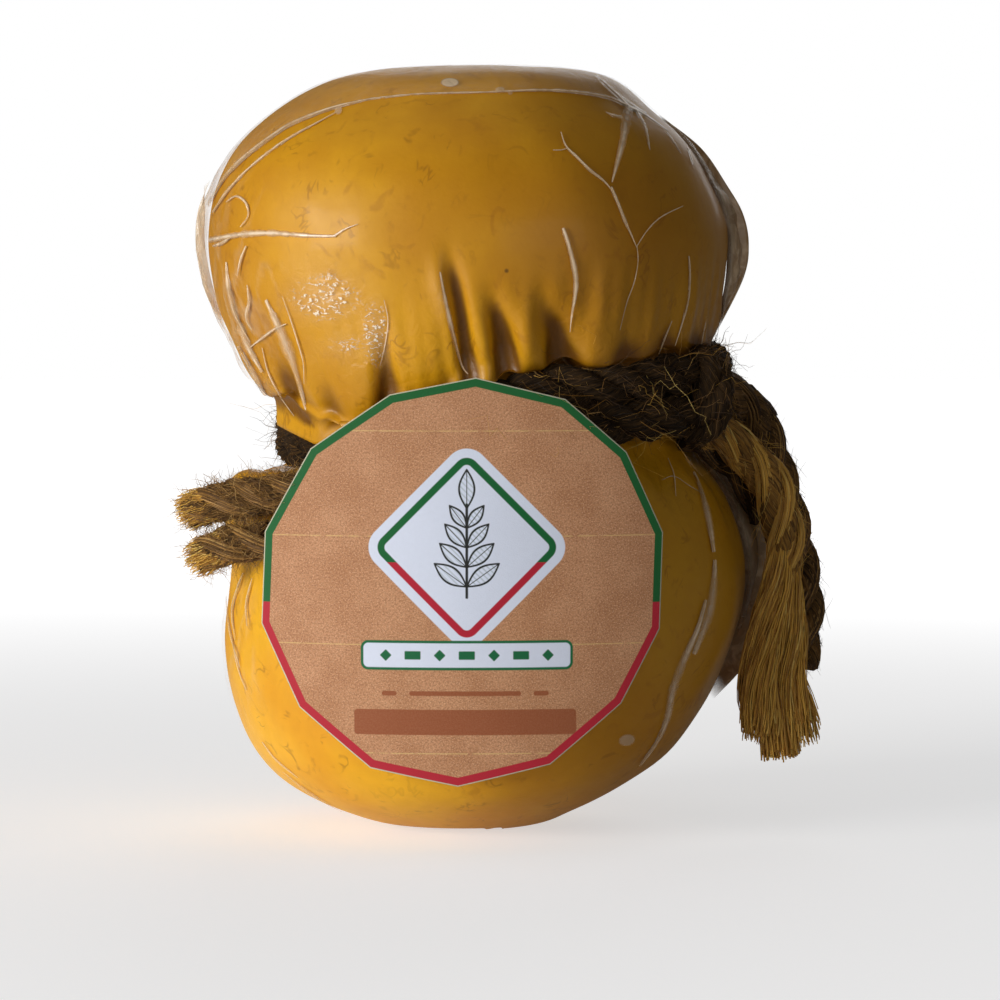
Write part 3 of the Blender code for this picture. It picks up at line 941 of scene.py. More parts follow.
def hang_cord(name, mesh, node):
    """A rope end as a piece, in place of the solid that it stands for."""
    rope = piece(name, mesh, "jute_rope", node)


# The two clumps of the tassel.
TASSEL_LEFT = [
    (38.6, -7.4, 36.0), (38.2, -7.9, 31.0), (36.9, -8.2, 25.0), (35.9, -8.0, 18.5), (36.3, -7.6, 13.4),
    (36.4, -7.3, 9.8),
]
TASSEL_RIGHT = [
    (39.5, -6.8, 36.0), (39.6, -6.4, 30.0), (39.9, -6.1, 24.0), (39.7, -5.9, 18.0), (41.0, -5.7, 13.0),
    (42.0, -5.6, 9.4),
]


def silky_rope(name, path, seed, pitch, count, colour=GOLD_HAIR, under=GOLD_JUTE):
    """A rope of laid strands, each wrapped in loose fibres that run along it."""
    slim = [(*p[:3], p[3] * 0.9) for p in path]
    core = rope_mesh(name, slim, seed, pitch=pitch, colour=under)
    wraps = fibre_mesh(
        name + "_wrap", strand_paths(path, pitch, start=seed * 1.3), count, seed + 70,
        points=max(12, len(path)), thickness=0.05, waviness=0.3, wave_size=3.5, shortest=0.92,
        nearest=0.6, colour=colour,
    )
    return core, wraps


def joined_piece(name, meshes, *stands_for):
    return piece(name, joined(name, meshes), "jute_rope", *stands_for)


def hang_front_tail():
    """The rope end that opens into a tassel."""
    route = smooth_path(FRONT_TAIL, 1.0)
    core, wraps = silky_rope("laid", widths(route[:20], 5.0, 5.3, 5.3, 4.9, 3.4), 3, 19.0, 150)
    hairs = hair_mesh("front_rope_hairs", core, 0.9, 3.0, 31, curl=2.2, colour=GOLD_HAIR)
    heart = fibre_mesh(
        "heart", [widths(route[14:], 1.5, 2.2, 2.4)], 260, 20, thickness=0.12, shortest=0.95,
        wave_size=7.0, waviness=1.6,
    )
    clumps = []
    for path, seed in ((TASSEL_LEFT, 21), (TASSEL_RIGHT, 22)):
        spread = widths(smooth_path(path, 1.0), 0.9, 1.7, 2.1, 2.2, 2.6, 2.5)
        locks = strand_paths(spread, 52.0, strands=5, start=seed, lay=0.62, strand=0.46)
        clumps.append(fibre_mesh(
            "tassel", locks, 130, seed, points=18, thickness=0.07, waviness=1.3,
            wave_size=6.0, shortest=0.93, rounding=0.15, nearest=0.1,
        ))
    loose = [
        joined_piece("front_rope_hairs", [hairs, wraps]),
        joined_piece("front_tassel", clumps),
    ]
    hang_cord("front_rope_end", joined("front_rope_end", [core, heart]), "front_tail")


def hang_rear_tail():
    """The plain rope end behind it."""
    route = smooth_path(REAR_TAIL, 1.0)
    path = widths(route, 4.8, 5.2, 5.2, 5.0, 5.2)
    core, wraps = silky_rope("rear_rope_end", path, 7, 17.0, 130, BROWN_HAIR, JUTE_FINISH)
    hairs = hair_mesh("rear_rope_hairs", core, 0.9, 2.0, 32, curl=1.4, points=6)
    loose = joined_piece("rear_rope_hairs", [hairs, wraps])
    hang_cord("rear_rope_end", core, "rear_tail")


set_camera()
hang_front_tail()
hang_rear_tail()


# ---------------------------------------------------------------- rope round the waist

def rounded(turn):
    """Where the band's rounded square is at this turn from the front, as shares of its half sizes."""
    right, rear = math.sin(turn), -math.cos(turn)
    reach = (abs(right) ** SQUARENESS + abs(rear) ** SQUARENESS) ** (-1.0 / SQUARENESS)
    return right * reach, rear * reach


def waist_height(x, share=0.5):
    """The height of the band, from its lower turn at share 0 to its upper turn at share 1."""
    left = TURNS[0][0] + share * (TURNS[1][0] - TURNS[0][0])
    right = TURNS[0][1] + share * (TURNS[1][1] - TURNS[0][1])
    return left + (right - left) * (x - WAIST_X + TURN_HALF_X) / (2 * TURN_HALF_X)


def band_height(points):
    """How far above the rope band the points are."""
    return points[:, 2] - waist_height(points[:, 0])


# How far the upper turn sags on the left in front, behind the label.
SAG_LEFT = 1.8


def waist_turn(share, sway=0.3, steps=120):
    """One turn of rope round the waist: the lower one at share 0, the upper one at share 1."""
    path = []
    for k in range(steps):
        turn = TURN * k / steps
        right, rear = rounded(turn)
        x = WAIST_X + TURN_HALF_X * right
        lift = sway * math.sin(3 * turn + 2 * share)
        lift -= SAG_LEFT * share * between(6.0, -16.0, x) * between(4.0, -6.0, rear * TURN_HALF_Y)
        path.append((x, TURN_HALF_Y * rear, waist_height(x, share) + lift, ROPE))
    return path


def binding_loop():
    """The loop of rope that binds the two turns together."""
    right, rear = rounded(math.radians(KNOT_DIRECTION))
    path = []
    for out, up in KNOT_LOOP:
        x = WAIST_X + (TURN_HALF_X + out) * right
        path.append((x, (TURN_HALF_Y + out) * rear, waist_height(x) + up))
    return widths(smooth_path(path, 0.8), 4.6, 5.0, 4.6)


# Where the two hanging ends come out of the band, up to the start of each, and the strand between them.
FRONT_ROOT = [(29.2, -10.6, 49.6), (30.9, -9.3, 48.8), (32.8, -8.2, 47.6), (34.4, -7.5, 46.2)]
REAR_ROOT = [
    (27.8, -8.4, 54.6), (30.6, -4.6, 54.6), (33.4, -1.4, 53.2), (35.6, 0.2, 51.4), (36.7, 0.7, 49.3),
]
CROSSING = [
    (26.8, -11.0, 48.6), (30.2, -7.6, 46.8), (33.0, -4.8, 44.4), (35.2, -3.2, 41.4), (36.6, -2.4, 38.0),
]

# Each root: its path, width, seed, loose fibres and strands.
ROOTS = [
    (FRONT_ROOT, ROPE, 5, GOLD_HAIR, GOLD_JUTE),
    (REAR_ROOT, ROPE, 6, BROWN_HAIR, JUTE_FINISH),
    # The crossing is a thin strand in the shade behind the front tail, painted dark as shade with the shaded
    # jute and dark hair.
    (CROSSING, 3.4, 10, DARK_HAIR, SHADED_JUTE),
]


def without(mesh, hidden):
    """A copy of the mesh that lacks the points for which hidden(points) is true."""
    rest = mesh.copy()
    shape = bmesh.new()
    shape.from_mesh(rest)
    gone = hidden(points_of(mesh))
    lost = [vert for vert, out in zip(list(shape.verts), gone) if out]
    bmesh.ops.delete(shape, geom=lost, context="VERTS")
    shape.to_mesh(rest)
    shape.free()
    return rest


def behind_label(points):
    """Where the band is out of sight behind the label and under the lip."""
    front_left = (points[:, 1] < -8) & (points[:, 0] < 6)
    return front_left & ((points[:, 0] > -19.6) | (band_height(points) > 0))


def outermost(points):
    """The band's outermost stretches on the left and right, which carry no long loops."""
    return (points[:, 0] > 26.5) | (points[:, 0] < -20)


def hair_piece(name, rope, *sizes, **looks):
    piece(name, hair_mesh(name, rope, *sizes, **looks), "jute_rope")


def tie_waist():
    """The two turns and the loop, the roots of the hanging ends, and three kinds of loose hairs."""
    turns = [
        rope_mesh("turn", waist_turn(share), seed, closed=True, colour=SHADED_JUTE)
        for share, seed in ((0.0, 1), (1.0, 2))
    ]
    loop = rope_mesh("loop", binding_loop(), 4, pitch=12.0, colour=SHADED_JUTE)
    roots = []
    for path, size, seed, colour, under in ROOTS:
        root = widths(smooth_path(path, 1.0), size, size)
        roots += silky_rope("root", root, seed, 19.0, 110, colour, under)
    laid = joined("waist_band", [*turns, loop])
    open_side = without(laid, behind_label)
    inner_side = without(open_side, outermost)
    hair_piece(
        "waist_band_fuzz", open_side, 0.66, 1.8, 41, rise=0.06, stray=0.55, curl=1.5, thickness=0.04,
        points=6,
    )
    hair_piece(
        "waist_band_tangle", open_side, 0.24, 3.9, 42, rise=0.1, stray=0.85, curl=3.4, curl_size=2.4,
        thickness=0.04, colour=BROWN_HAIR,
    )
    hair_piece(
        "waist_band_loops", inner_side, 0.08, 8.0, 43, rise=0.22, stray=0.8, curl=8.0, curl_size=3.2,
        thickness=0.03, colour=GOLD_HAIR,
    )
    piece("waist_band", laid, "jute_rope", "waist_rope")
    joined_piece("rope_roots", roots)


# The way the fibres spread at the cut of each short end.
UPPER_BRUSH = [(-29.2, -18.0, 41.1), (-32.5, -15.7, 40.1), (-34.8, -14.2, 39.1)]
LOWER_BRUSH = [(-28.4, -19.0, 35.8), (-31.2, -17.0, 34.7), (-33.4, -15.4, 33.4)]


def cut_end(name, route, node, seed, brush):
    """A short rope end: the laid rope, its fuzz, and the fibres that open at its cut."""
    path = widths(smooth_path(route, 0.8), 4.4, 4.7, 4.9, 4.3)
    core, wraps = silky_rope(name, path, seed, 16.0, 120, PALE_HAIR, JUTE_FINISH)
    hairs = hair_mesh(
        name + "_hairs", core, 4.2, 2.2, seed + 50, stray=0.9, rise=0.4, curl=2.0, curl_size=1.4,
        thickness=0.04, points=6, colour=PALE_HAIR,
    )
    opened = widths(smooth_path(brush, 0.7), 1.8, 2.2, 2.6)
    fibres = fibre_mesh(
        "brush", [opened], 700, seed + 60, points=8, thickness=0.05, waviness=1.7, wave_size=2.4,
        shortest=0.55, rounding=0.15,
    )
    joined_piece(name, [core, fibres], node)
    joined_piece(name + "_hairs", [hairs, wraps])


tie_waist()
cut_end("upper_cut_end", UPPER_STUB, "upper_stub", 8, UPPER_BRUSH)
cut_end("lower_cut_end", LOWER_STUB, "lower_stub", 9, LOWER_BRUSH)


# ---------------------------------------------------------------- cheese and film

# The film's welded edges, as the model has them: side, height, reach and half length.
FILM_EDGES = [(1, 72.5, 2.3, 9.5), (-1, 72.5, 1.8, 8.5), (1, 35.0, 2.0, 8.0)]
FILM_GAP = 0.14


def welded_edge(points):
    """How far the film's welded edges stand out sideways at the points."""
    bearing = np.degrees(np.arcsin(np.clip(points[:, 1] / 31.0, -1, 1)))
    out = np.zeros(len(points))
    for side, middle, reach, half_length in FILM_EDGES:
        here = (points[:, 0] * side > 15) * bell(bearing, 5.0) * bell(points[:, 2] - middle, half_length)
        out += side * reach * here
    return out


# How far the upper belly hangs down over the rope in front, by the distance to the right.
LIP = [
    (-27.0, 0.0), (-24.5, 0.0), (-22.5, 0.3), (-20.9, 0.6), (-18.8, 1.6), (-17.0, 2.6), (-13.4, 4.8),
    (-9.2, 3.6), (-4.3, 3.0), (1.2, 2.3), (5.3, 1.4), (8.5, 0.6), (12.0, 0.7), (16.5, 1.4), (22.0, 1.1),
    (28.0, 1.0), (31.5, 0.0),
]

# Gathers, and the rolls between them with their depth below nought, in the camera's view: half width there,
# depth in mm, then their points from the top down.
GATHERS = [
    (8, 0.6, [(384, 300), (383, 345), (387, 396)]),
    (9, 0.95, [(447, 232), (453, 275), (461, 318), (469, 380)]),
    (12, 0.95, [(486, 270), (494, 305), (503, 340), (510, 374)]),
    (12, 0.85, [(541, 274), (548, 306), (557, 334), (562, 368)]),
    (7, 0.6, [(268, 352), (290, 402), (312, 440)]),
    (9, 0.35, [(674, 298), (668, 356)]), (8, 0.3, [(702, 290), (699, 352)]),
    (10, 0.3, [(628, 306), (624, 366)]),
    (9, -0.6, [(434, 240), (440, 285), (449, 325), (458, 378)]),
    (9, -0.3, [(474, 286), (481, 330), (488, 370)]), (12, -0.4, [(520, 282), (528, 326), (536, 366)]),
    (11, -0.3, [(366, 316), (369, 392)]), (10, -0.3, [(402, 312), (408, 390)]),
    (12, -0.3, [(586, 300), (590, 366)]),
]


def lip_drop(x):
    return np.interp(x, *zip(*LIP))


def overhang(points):
    """The points with the upper belly's lower front drawn down and out over the rope.

    On the left the lower belly's shoulder also moves out a little.
    """
    above = band_height(points)
    x, y, _ = points.T
    drop = lip_drop(x)
    left = between(-9.0, -14.0, x)
    start = 0.4 + 3.0 * np.clip(1 - drop / 2, 0, 1) * left
    share = between(start, start + 2.6, above) * (1 - between(5.0, 17.0, above)) * between(2.0, -8.0, y)
    right = x - WAIST_X
    reach = np.maximum(np.hypot(right, y), 1e-6)
    rope = np.abs(right / reach / TURN_HALF_X) ** SQUARENESS + np.abs(y / reach / TURN_HALF_Y) ** SQUARENESS
    clear = rope ** (-1 / SQUARENESS) + 2.9 + 0.5 * left
    out = np.maximum(clear - reach, 0) * share * np.clip(drop / (2.0 - 1.5 * left), 0, 1)
    shoulder = bell(above + 6.5, 5.5) * between(-13.0, -24.0, x) * between(6.0, -6.0, y)
    moved = points.copy()
    moved[:, 0] += right / reach * out
    moved[:, 1] += y / reach * out
    moved[:, 2] -= drop * share
    moved[:, 0] -= 2.6 * shoulder
    return moved


def gathered(points):
    """How deep the gathers are at the points, in mm, below nought on the rolls between them."""
    across, down = in_view(points)
    front = between(-4.0, -12.0, points[:, 1]) * (band_height(points) > 0.5)
    depth = np.zeros(len(points))
    for half_width, deepest, line in GATHERS:
        line = np.array(line, float)
        middle = np.interp(down, line[:, 1], line[:, 0])
        fade = between(line[0, 1], line[0, 1] + 62, down)
        depth += deepest * bell(across - middle, half_width) * fade * front
    return depth


# The glossiest patches, as the camera sees them, where the film also carries painted glints: place, half
# sizes and strength.
GLOSS_AND_GLINT_PATCHES = [(324, 298, 40, 27, 1.0), (374, 334, 15, 36, 1.0), (346, 346, 34, 18, 0.6), (440, 300, 8, 22, 0.5)]


def gloss_and_glint_patch(points):
    """How glossy the film looks at the points, from 0 to 1, and how strong its painted glints are there."""
    across, down = in_view(points)
    glint_patch = np.zeros(len(points))
    for middle, height, half_width, half_height, share in GLOSS_AND_GLINT_PATCHES:
        away = np.hypot((across - middle) / half_width, (down - height) / half_height)
        glint_patch = np.maximum(glint_patch, share * bell(away, 1.0))
    return glint_patch * (points[:, 1] < 0)


def puckered(points):
    """How far the puckers beside the rope stand out at the points, in mm, and how near the rope they are."""
    above = np.abs(band_height(points))
    turn = np.arctan2(points[:, 0] - 2.0, -points[:, 1])
    near_rope = between(2.5, 5.0, above) * (1 - between(9.0, 19.0, above))
    upright = np.column_stack([np.sin(turn) * 30, -np.cos(turn) * 30, points[:, 2] * 0.16])
    deep = 0.28 + 0.3 * between(-2, 8, points[:, 1])
    return near_rope * (deep * waves(upright, 5, 5.0, 2) - 0.1), near_rope


def shape_cheese():
    """The cheese: it fills the film, with the gathers deep in it, and painted shade that darkens its hollows
    and gathers and the band under the lip beside the rope.
    """
    mesh = fine_copy("wrapped_cheese", 2)
    points, normals = points_of(mesh), normals_of(mesh)
    above = band_height(points)
    out, near_rope = puckered(points)
    out += 0.12 * waves(points, 6, 16.0, 2) * between(2.0, 8.0, points[:, 2])
    points[:, 0] -= welded_edge(points)
    points = overhang(points)
    depth = gathered(points)
    points += normals * (out - FILM_GAP - depth)[:, None]
    points[:, 2] = np.maximum(points[:, 2], 0.05)
    move_points(mesh, points)
    # Painted shade: how deep each point lies in a hollow, the gathers' depth and a painted shadow under the
    # lip, which darken the rind.
    hollow_shade = ((smoothed(mesh, points, 60) - points) * normals).sum(axis=1)
    under = between(9.5, 4.5, above - lip_drop(points[:, 0]) * 0.4) * (above > 0)
    shadow = under * (0.55 + 0.65 * between(-4.0, 8.0, points[:, 0]))
    carry(mesh, "hollow_shade", hollow_shade + 0.55 * np.maximum(depth, 0) + shadow)
    carry(mesh, "wrinkled", np.clip(0.03 + 0.6 * gloss_and_glint_patch(points) + 0.3 * near_rope, 0, 1))
    mesh.materials.append(CHEESE_FINISH)
    piece("cheese", mesh, "smoked_cheese", "wrapped_cheese")


# The seam over the top, from the left side over to the junction on the right, as the camera sees it.
TOP_SEAM = [
    (209, 203), (224, 178), (240, 161), (257, 147), (275, 134), (293, 123), (329, 109), (369, 99), (418, 94),
    (485, 92), (540, 90), (575, 92), (606, 97), (626, 105),
]


def shape_film():
    """The film: it hugs the cheese, crumples at the upper left, and stands out at its welded edges."""
    mesh = fine_copy("wrapped_cheese", 2)
    points, normals = points_of(mesh), normals_of(mesh)
    pucker, _ = puckered(points)
    points = overhang(points)
    across, down = in_view(points)
    seam = np.interp(across, *np.array(TOP_SEAM, float).T, left=900, right=105)
    cap = between(-3, 3, seam - down) * (points[:, 2] > 60)
    front = points[:, 1] < 2
    rear_side = between(20.0, 31.5, np.abs(points[:, 0] - 1.0)) * (np.abs(band_height(points)) > 3) * ~front
    left = front * bell(np.hypot((across - 222) / 48, (down - 318) / 105), 1.0)
    low_left = front * bell(np.hypot((across - 238) / 20, (down - 640) / 70), 1.0)
    crumpled = np.clip(left + 0.7 * low_left + 0.6 * rear_side, 0, 1)
    edges = np.abs(welded_edge(points)) / 2.0
    ridged = 1 - np.abs(waves(points * (1, 1, 0.55), 11, 9.0, 3)) * 1.6
    depth = gathered(points) * 0.8
    web = (points[:, 0] > 20) & (points[:, 2] < 50)
    out = 0.05 + pucker + web * edges * 1.1
    out += crumpled * 0.45 * np.clip(ridged, 0, 1)
    out += edges * 0.3 * waves(points, 12, 5.0, 2)
    out -= depth
    points += normals * out[:, None]
    points[:, 2] = np.maximum(points[:, 2], 0.0)
    move_points(mesh, points)
    folds = between(0.5, 0.95, ridged)
    right = points[:, 0] > 0
    veil = 0.13 * cap + crumpled * (0.04 + 0.24 * folds)
    veil += np.clip(edges * 2.2, 0, 0.8) * np.where(right, 1, 0.38)
    carry(mesh, "veil", np.clip(veil, 0, 1))
    carry(mesh, "glint_patch", gloss_and_glint_patch(points))
    carry(mesh, "welded", np.clip(edges * 2.5, 0, 1) * right)
    mesh.materials.append(FILM_FINISH)
    piece("film", mesh, "clear_film", "wrapped_cheese")
    return mesh


# A crease is made this much wider than it looks, because it fades out to both sides.
CREASE_SPREAD = 1.9

# Creases in the film as the camera sees them, and pale ridges as painted highlights: widths in mm at the
# start, middle and end, then their points.
CREASES_AND_HIGHLIGHTS = [
    ((0.7, 0.8, 0.25), TOP_SEAM[:8]),
    ((0.25, 0.18, 0.5), TOP_SEAM[7:]),
    ((0.3, 0.4, 0.1), [(213, 212), (228, 190), (252, 166), (286, 140), (318, 122), (338, 111)]),
    ((1.0, 0.6, 0.15), [(629, 106), (626, 121), (623, 140), (618, 160), (612, 182)]),
    ((0.8, 0.5, 0.2), [(628, 107), (640, 112), (652, 120), (668, 131)]),
    ((0.6, 0.45, 0.1), [(628, 106), (614, 92), (603, 82), (596, 75)]),
    ((0.5, 0.35, 0.1), [(622, 118), (614, 116), (606, 112)]),
    ((0.1, 0.35, 0.15), [(561, 132), (566, 146), (578, 158), (590, 170), (603, 180), (611, 189)]),
    ((0.3, 0.3, 0.06), [(611, 187), (618, 203), (625, 221), (631, 234), (637, 248)]),
    ((0.08, 0.14, 0.08), [(637, 246), (646, 232), (657, 220), (668, 213), (683, 206)]),
    ((0.08, 0.12, 0.05), [(637, 246), (638, 262), (634, 283), (627, 302), (620, 330)]),
    ((0.08, 0.12, 0.05), [(553, 150), (561, 150), (568, 148)]),
    ((0.45, 0.5, 0.2), [(210, 240), (225, 237), (245, 234), (270, 233), (300, 235), (320, 236), (336, 236)]),
    ((0.25, 0.14, 0.05), [(334, 236), (345, 229), (358, 224)]),
    # Painted highlight: a pale ridge along a streak of light on the film.
    ((0.3, 0.45, 0.06), [
        (563, 228), (568, 243), (573, 262), (576, 280), (575, 296), (572, 314), (570, 332),
    ]),
    ((0.2, 0.3, 0.05), [(689, 256), (690, 276), (688, 300), (682, 324), (675, 346)]),
    ((0.3, 0.4, 0.1), [(667, 133), (673, 142), (681, 153)]),
    ((0.2, 0.3, 0.1), [(688, 149), (691, 157), (693, 165)]),
    ((0.1, 0.2, 0.1), [(672, 321), (665, 338), (659, 354)]),
    ((0.1, 0.15, 0.06), [(706, 322), (703, 336), (701, 349)]),
    ((0.2, 0.4, 0.1), [(213, 246), (222, 243), (232, 236)]),
    ((0.15, 0.3, 0.1), [(246, 246), (241, 258), (237, 276)]),
    ((0.12, 0.45, 0.1), [(247, 285), (249, 302), (246, 318), (252, 330)]),
    ((0.15, 0.35, 0.1), [(230, 290), (231, 302), (236, 316), (243, 330), (250, 342)]),
    ((0.1, 0.3, 0.1), [(247, 350), (262, 338), (276, 328), (286, 324)]),
    ((0.06, 0.16, 0.06), [(282, 296), (290, 318), (297, 340), (303, 362), (304, 384)]),
    ((0.06, 0.2, 0.06), [(262, 348), (268, 372), (280, 396), (294, 416)]),
    ((0.3, 1.3, 0.4), [(694, 472), (702, 492), (709, 520), (714, 552)]),
    ((0.4, 1.6, 0.5), [(715, 560), (714, 584), (710, 610), (702, 634), (694, 654)]),
    ((0.3, 1.2, 0.3), [(706, 600), (698, 628), (684, 660), (673, 690), (668, 716), (658, 740), (640, 766)]),
    ((0.06, 0.12, 0.05), [(668, 458), (674, 474), (676, 496)]),
    ((0.06, 0.1, 0.05), [(662, 480), (674, 476), (690, 486), (704, 494)]),
    ((0.2, 0.4, 0.1), [(243, 573), (236, 592), (232, 612), (235, 640)]),
    ((0.1, 0.3, 0.1), [(252, 578), (246, 604), (247, 626)]),
    ((0.1, 0.25, 0.1), [(232, 640), (238, 668), (246, 690)]),
    ((0.1, 0.3, 0.1), [(283, 772), (305, 790), (330, 806), (352, 816)]),
    # Painted highlight: a pale ridge along the lit ridge of a gather.
    ((0.15, 0.45, 0.12), [(440, 272), (444, 294), (449, 318), (455, 342), (462, 366), (468, 374)]),
    ((0.3, 1.6, 0.2), [(266, 300), (284, 340), (298, 380), (306, 410)]),
    ((0.2, 1.4, 0.3), [(226, 262), (231, 300), (245, 340), (262, 372)]),
    ((0.3, 1.2, 0.5), [(238, 346), (250, 368), (262, 390), (274, 408)]),
    ((0.1, 0.3, 0.08), [(226, 202), (236, 196), (246, 203), (248, 216), (240, 227)]),
    ((0.5, 1.0, 0.6), [(646, 114), (630, 104), (616, 94), (602, 81)]),
    ((0.2, 0.5, 0.1), [(634, 106), (645, 128), (650, 150)]),
    ((0.1, 0.3, 0.1), [(228, 560), (226, 596), (230, 632), (240, 668)]),
    ((0.1, 0.25, 0.1), [(262, 742), (276, 760), (298, 778)]),
    ((0.06, 0.14, 0.06), [(384, 300), (388, 322), (384, 350), (380, 366)]),
]


def seen_creases(film):
    """The creases and painted highlight ridges in the camera's view: places on the film with the way out of
    it there, and widths.
    """
    creases = []
    for sizes, seen in CREASES_AND_HIGHLIGHTS:
        path = []
        for across, down in seen_path(seen):
            spot, out, _, _ = film.ray_cast(EYE, view_ray(across, down))
            if spot is not None:
                path.append((*spot, *out))
        creases.append((path, [CREASE_SPREAD * size for size in sizes]))
    return creases


# The creases out of the camera's view, for each belly: their height, how far they spread, and how many.
HIDDEN_CREASES = [(74.0, 13.0, 11), (26.0, 11.0, 8)]


def hidden_creases(film):
    """A few creases like them at random places round the back, which fork halfway."""
    chance = np.random.default_rng(8)
    starts = []
    for middle, reach, count in HIDDEN_CREASES:
        for _ in range(count):
            starts.append((
                chance.uniform(0.55, 1.45) * math.pi, middle + chance.uniform(-reach, reach),
                chance.uniform(-1.2, 1.2), int(chance.integers(14, 34)), chance.uniform(0.3, 0.65),
            ))
    creases = []
    # A fork joins the end of the list that is being walked through.
    for turn, height, lean, steps, size in starts:
        path = []
        for step in range(steps):
            way = Vector((math.sin(turn), -math.cos(turn), 0.0))
            spot, out, _, _ = film.ray_cast(Vector((2.0, 0.0, height)) + way * 60, -way)
            if spot is not None and 2 < spot.z < 90 and abs(band_height(np.array([spot]))[0]) > 5:
                path.append((*spot, *out))
            turn += 0.028 * math.sin(lean)
            height += 0.9 * math.cos(lean)
            lean += chance.normal(0, 0.09)
            if step == steps // 2 and steps > 12:
                fork = lean + chance.choice([-0.5, 0.5])
                starts.append((turn, height, fork, steps // 2, size * 0.6))
        creases.append((path, [size * 0.7, size, 0.1]))
    return creases


def crease_film(mesh):
    """Low ridges along the creases and the painted highlights, which lie on the film."""
    film = BVHTree.FromPolygons([v.co / MM for v in mesh.vertices], [p.vertices for p in mesh.polygons])
    creases = seen_creases(film) + hidden_creases(film)
    creases = [(path, sizes) for path, sizes in creases if len(path) > 2]
    guide = guide_mesh([widths(path, *sizes) for path, sizes in creases])
    ways = np.array([point[3:6] for path, _ in creases for point in path])
    guide.attributes.new("lie", "FLOAT_VECTOR", "POINT").data.foreach_set("vector", ways.ravel())
    ridges = grown(RIDGES, "film_creases_and_highlights", guide, {
        "Step": 0.4 * MM, "Flatness": 0.4, "Material": RIDGE_FINISH,
    })
    piece("film_creases_and_highlights", ridges, "clear_film")


# Loose film beyond the cheese: its inner and its outer edge in the camera's view, how far back it is, how
# milky it looks, and how much of it is welded.
FLAPS = [
    (
        [(652, 118), (686, 150), (709, 188), (723, 226), (726, 262), (722, 296), (711, 328)],
        [(658, 116), (700, 149), (726, 186), (742, 214), (748, 244), (743, 278), (716, 333)],
        1.0, 1.25, 1.0,
    ),
    (
        [(680, 424), (714, 484), (731, 527), (737, 571), (736, 609), (724, 658), (706, 692)],
        [(738, 424), (758, 484), (773, 528), (775, 572), (767, 616), (746, 664), (714, 700)],
        2.0, 1.3, 1.0,
    ),
    (
        [(205, 186), (206, 214), (206, 246), (214, 288), (226, 322)],
        [(212, 180), (199, 212), (197, 248), (206, 292), (225, 330)],
        2.0, 0.7, 0.25,
    ),
]
FLAP_STEPS, FLAP_COLUMNS = 48, 8
FLAP_HALF_THICKNESS = 0.06


def flap_rows(inner, outer, back, phase):
    """Rows of places across a flap, from its inner edge to its outer one, with a slight sway."""
    edges = [seen_path(inner), seen_path(outer)]
    rows = []
    for k in range(FLAP_STEPS + 1):
        share = k / FLAP_STEPS
        near, far = (
            np.array([np.interp(share, np.linspace(0, 1, len(edge)), column) for column in edge.T])
            for edge in edges
        )
        row = []
        for j in range(FLAP_COLUMNS + 1):
            out = j / FLAP_COLUMNS
            across, down = near + (far - near) * out
            sway = 0.4 * math.sin(share * 9 + phase + 2 * out) * out
            y = back + (sway + 0.12 * math.sin(share * 23 + 4 * out))
            depth = (1 + y / DISTANCE) * VIEW_STEP
            x = AIM.x + (across - VIEW_MIDDLE) * depth
            z = AIM.z + (VIEW_MIDDLE - down) * depth - y * math.sin(ELEVATION)
            row.append(Vector((x, y, z)))
        rows.append(row)
    return rows


def hang_flaps():
    """Thin closed strips of film that stand out sideways from the cheese."""
    shape = bmesh.new()
    folds, welds, glint_patch = (shape.verts.layers.float.new(name) for name in ("veil", "welded", "glint_patch"))
    steps, columns = FLAP_STEPS, FLAP_COLUMNS
    for number, (inner, outer, back, veil, weld) in enumerate(FLAPS):
        rows = flap_rows(inner, outer, back, number)
        sides = []
        for half in (-FLAP_HALF_THICKNESS, FLAP_HALF_THICKNESS):
            shift = Vector((0, half, 0))
            sides.append([[shape.verts.new((p + shift) * MM) for p in row] for row in rows])
            for k, row in enumerate(sides[-1]):
                end = min(1.0, 12 * k / steps, 12 * (steps - k) / steps)
                for j, vert in enumerate(row):
                    ripple = 0.1 * math.sin(k * 0.9 + j * 0.7) * math.sin(j * 1.3)
                    vert[folds] = (veil + ripple) * end
                    vert[welds] = weld
                    vert[glint_patch] = 0.0
        front, rear = sides
        for k in range(steps):
            for j in range(columns):
                shape.faces.new([front[k][j], front[k][j + 1], front[k + 1][j + 1], front[k + 1][j]])
                shape.faces.new([rear[k][j], rear[k + 1][j], rear[k + 1][j + 1], rear[k][j + 1]])
        rim = [(0, j) for j in range(columns)] + [(k, columns) for k in range(steps)]
        rim += [(steps, j) for j in range(columns, 0, -1)] + [(k, 0) for k in range(steps, 0, -1)]
        for (k, j), (m, n) in zip(rim, rim[1:] + rim[:1]):
            shape.faces.new([front[m][n], front[k][j], rear[k][j], rear[m][n]])
    bmesh.ops.recalc_face_normals(shape, faces=shape.faces)
    mesh = bpy.data.meshes.new("film_flaps")
    shape.to_mesh(mesh)
    shape.free()
    mesh.shade_smooth()
    mesh.materials.append(FILM_FINISH)
    piece("film_flaps", mesh, "clear_film")


shape_cheese()
crease_film(shape_film())
hang_flaps()


# ---------------------------------------------------------------- label

def label_ring(inset):
    """The label's outline moved in by this much, each corner along the line that halves it."""
    corners = []
    for reach, bearing in LABEL_CORNERS:
        angle = math.radians(bearing)
        corners.append(Vector((reach * math.sin(angle), reach * math.cos(angle))))
    ring = []
    for k, corner in enumerate(corners):
        before = (corners[k - 1] - corner).normalized()
        after = (corners[(k + 1) % len(corners)] - corner).normalized()
        inward = (before + after).normalized()
        ring.append(corner + inward * inset / abs(inward.cross(after)))
    return ring


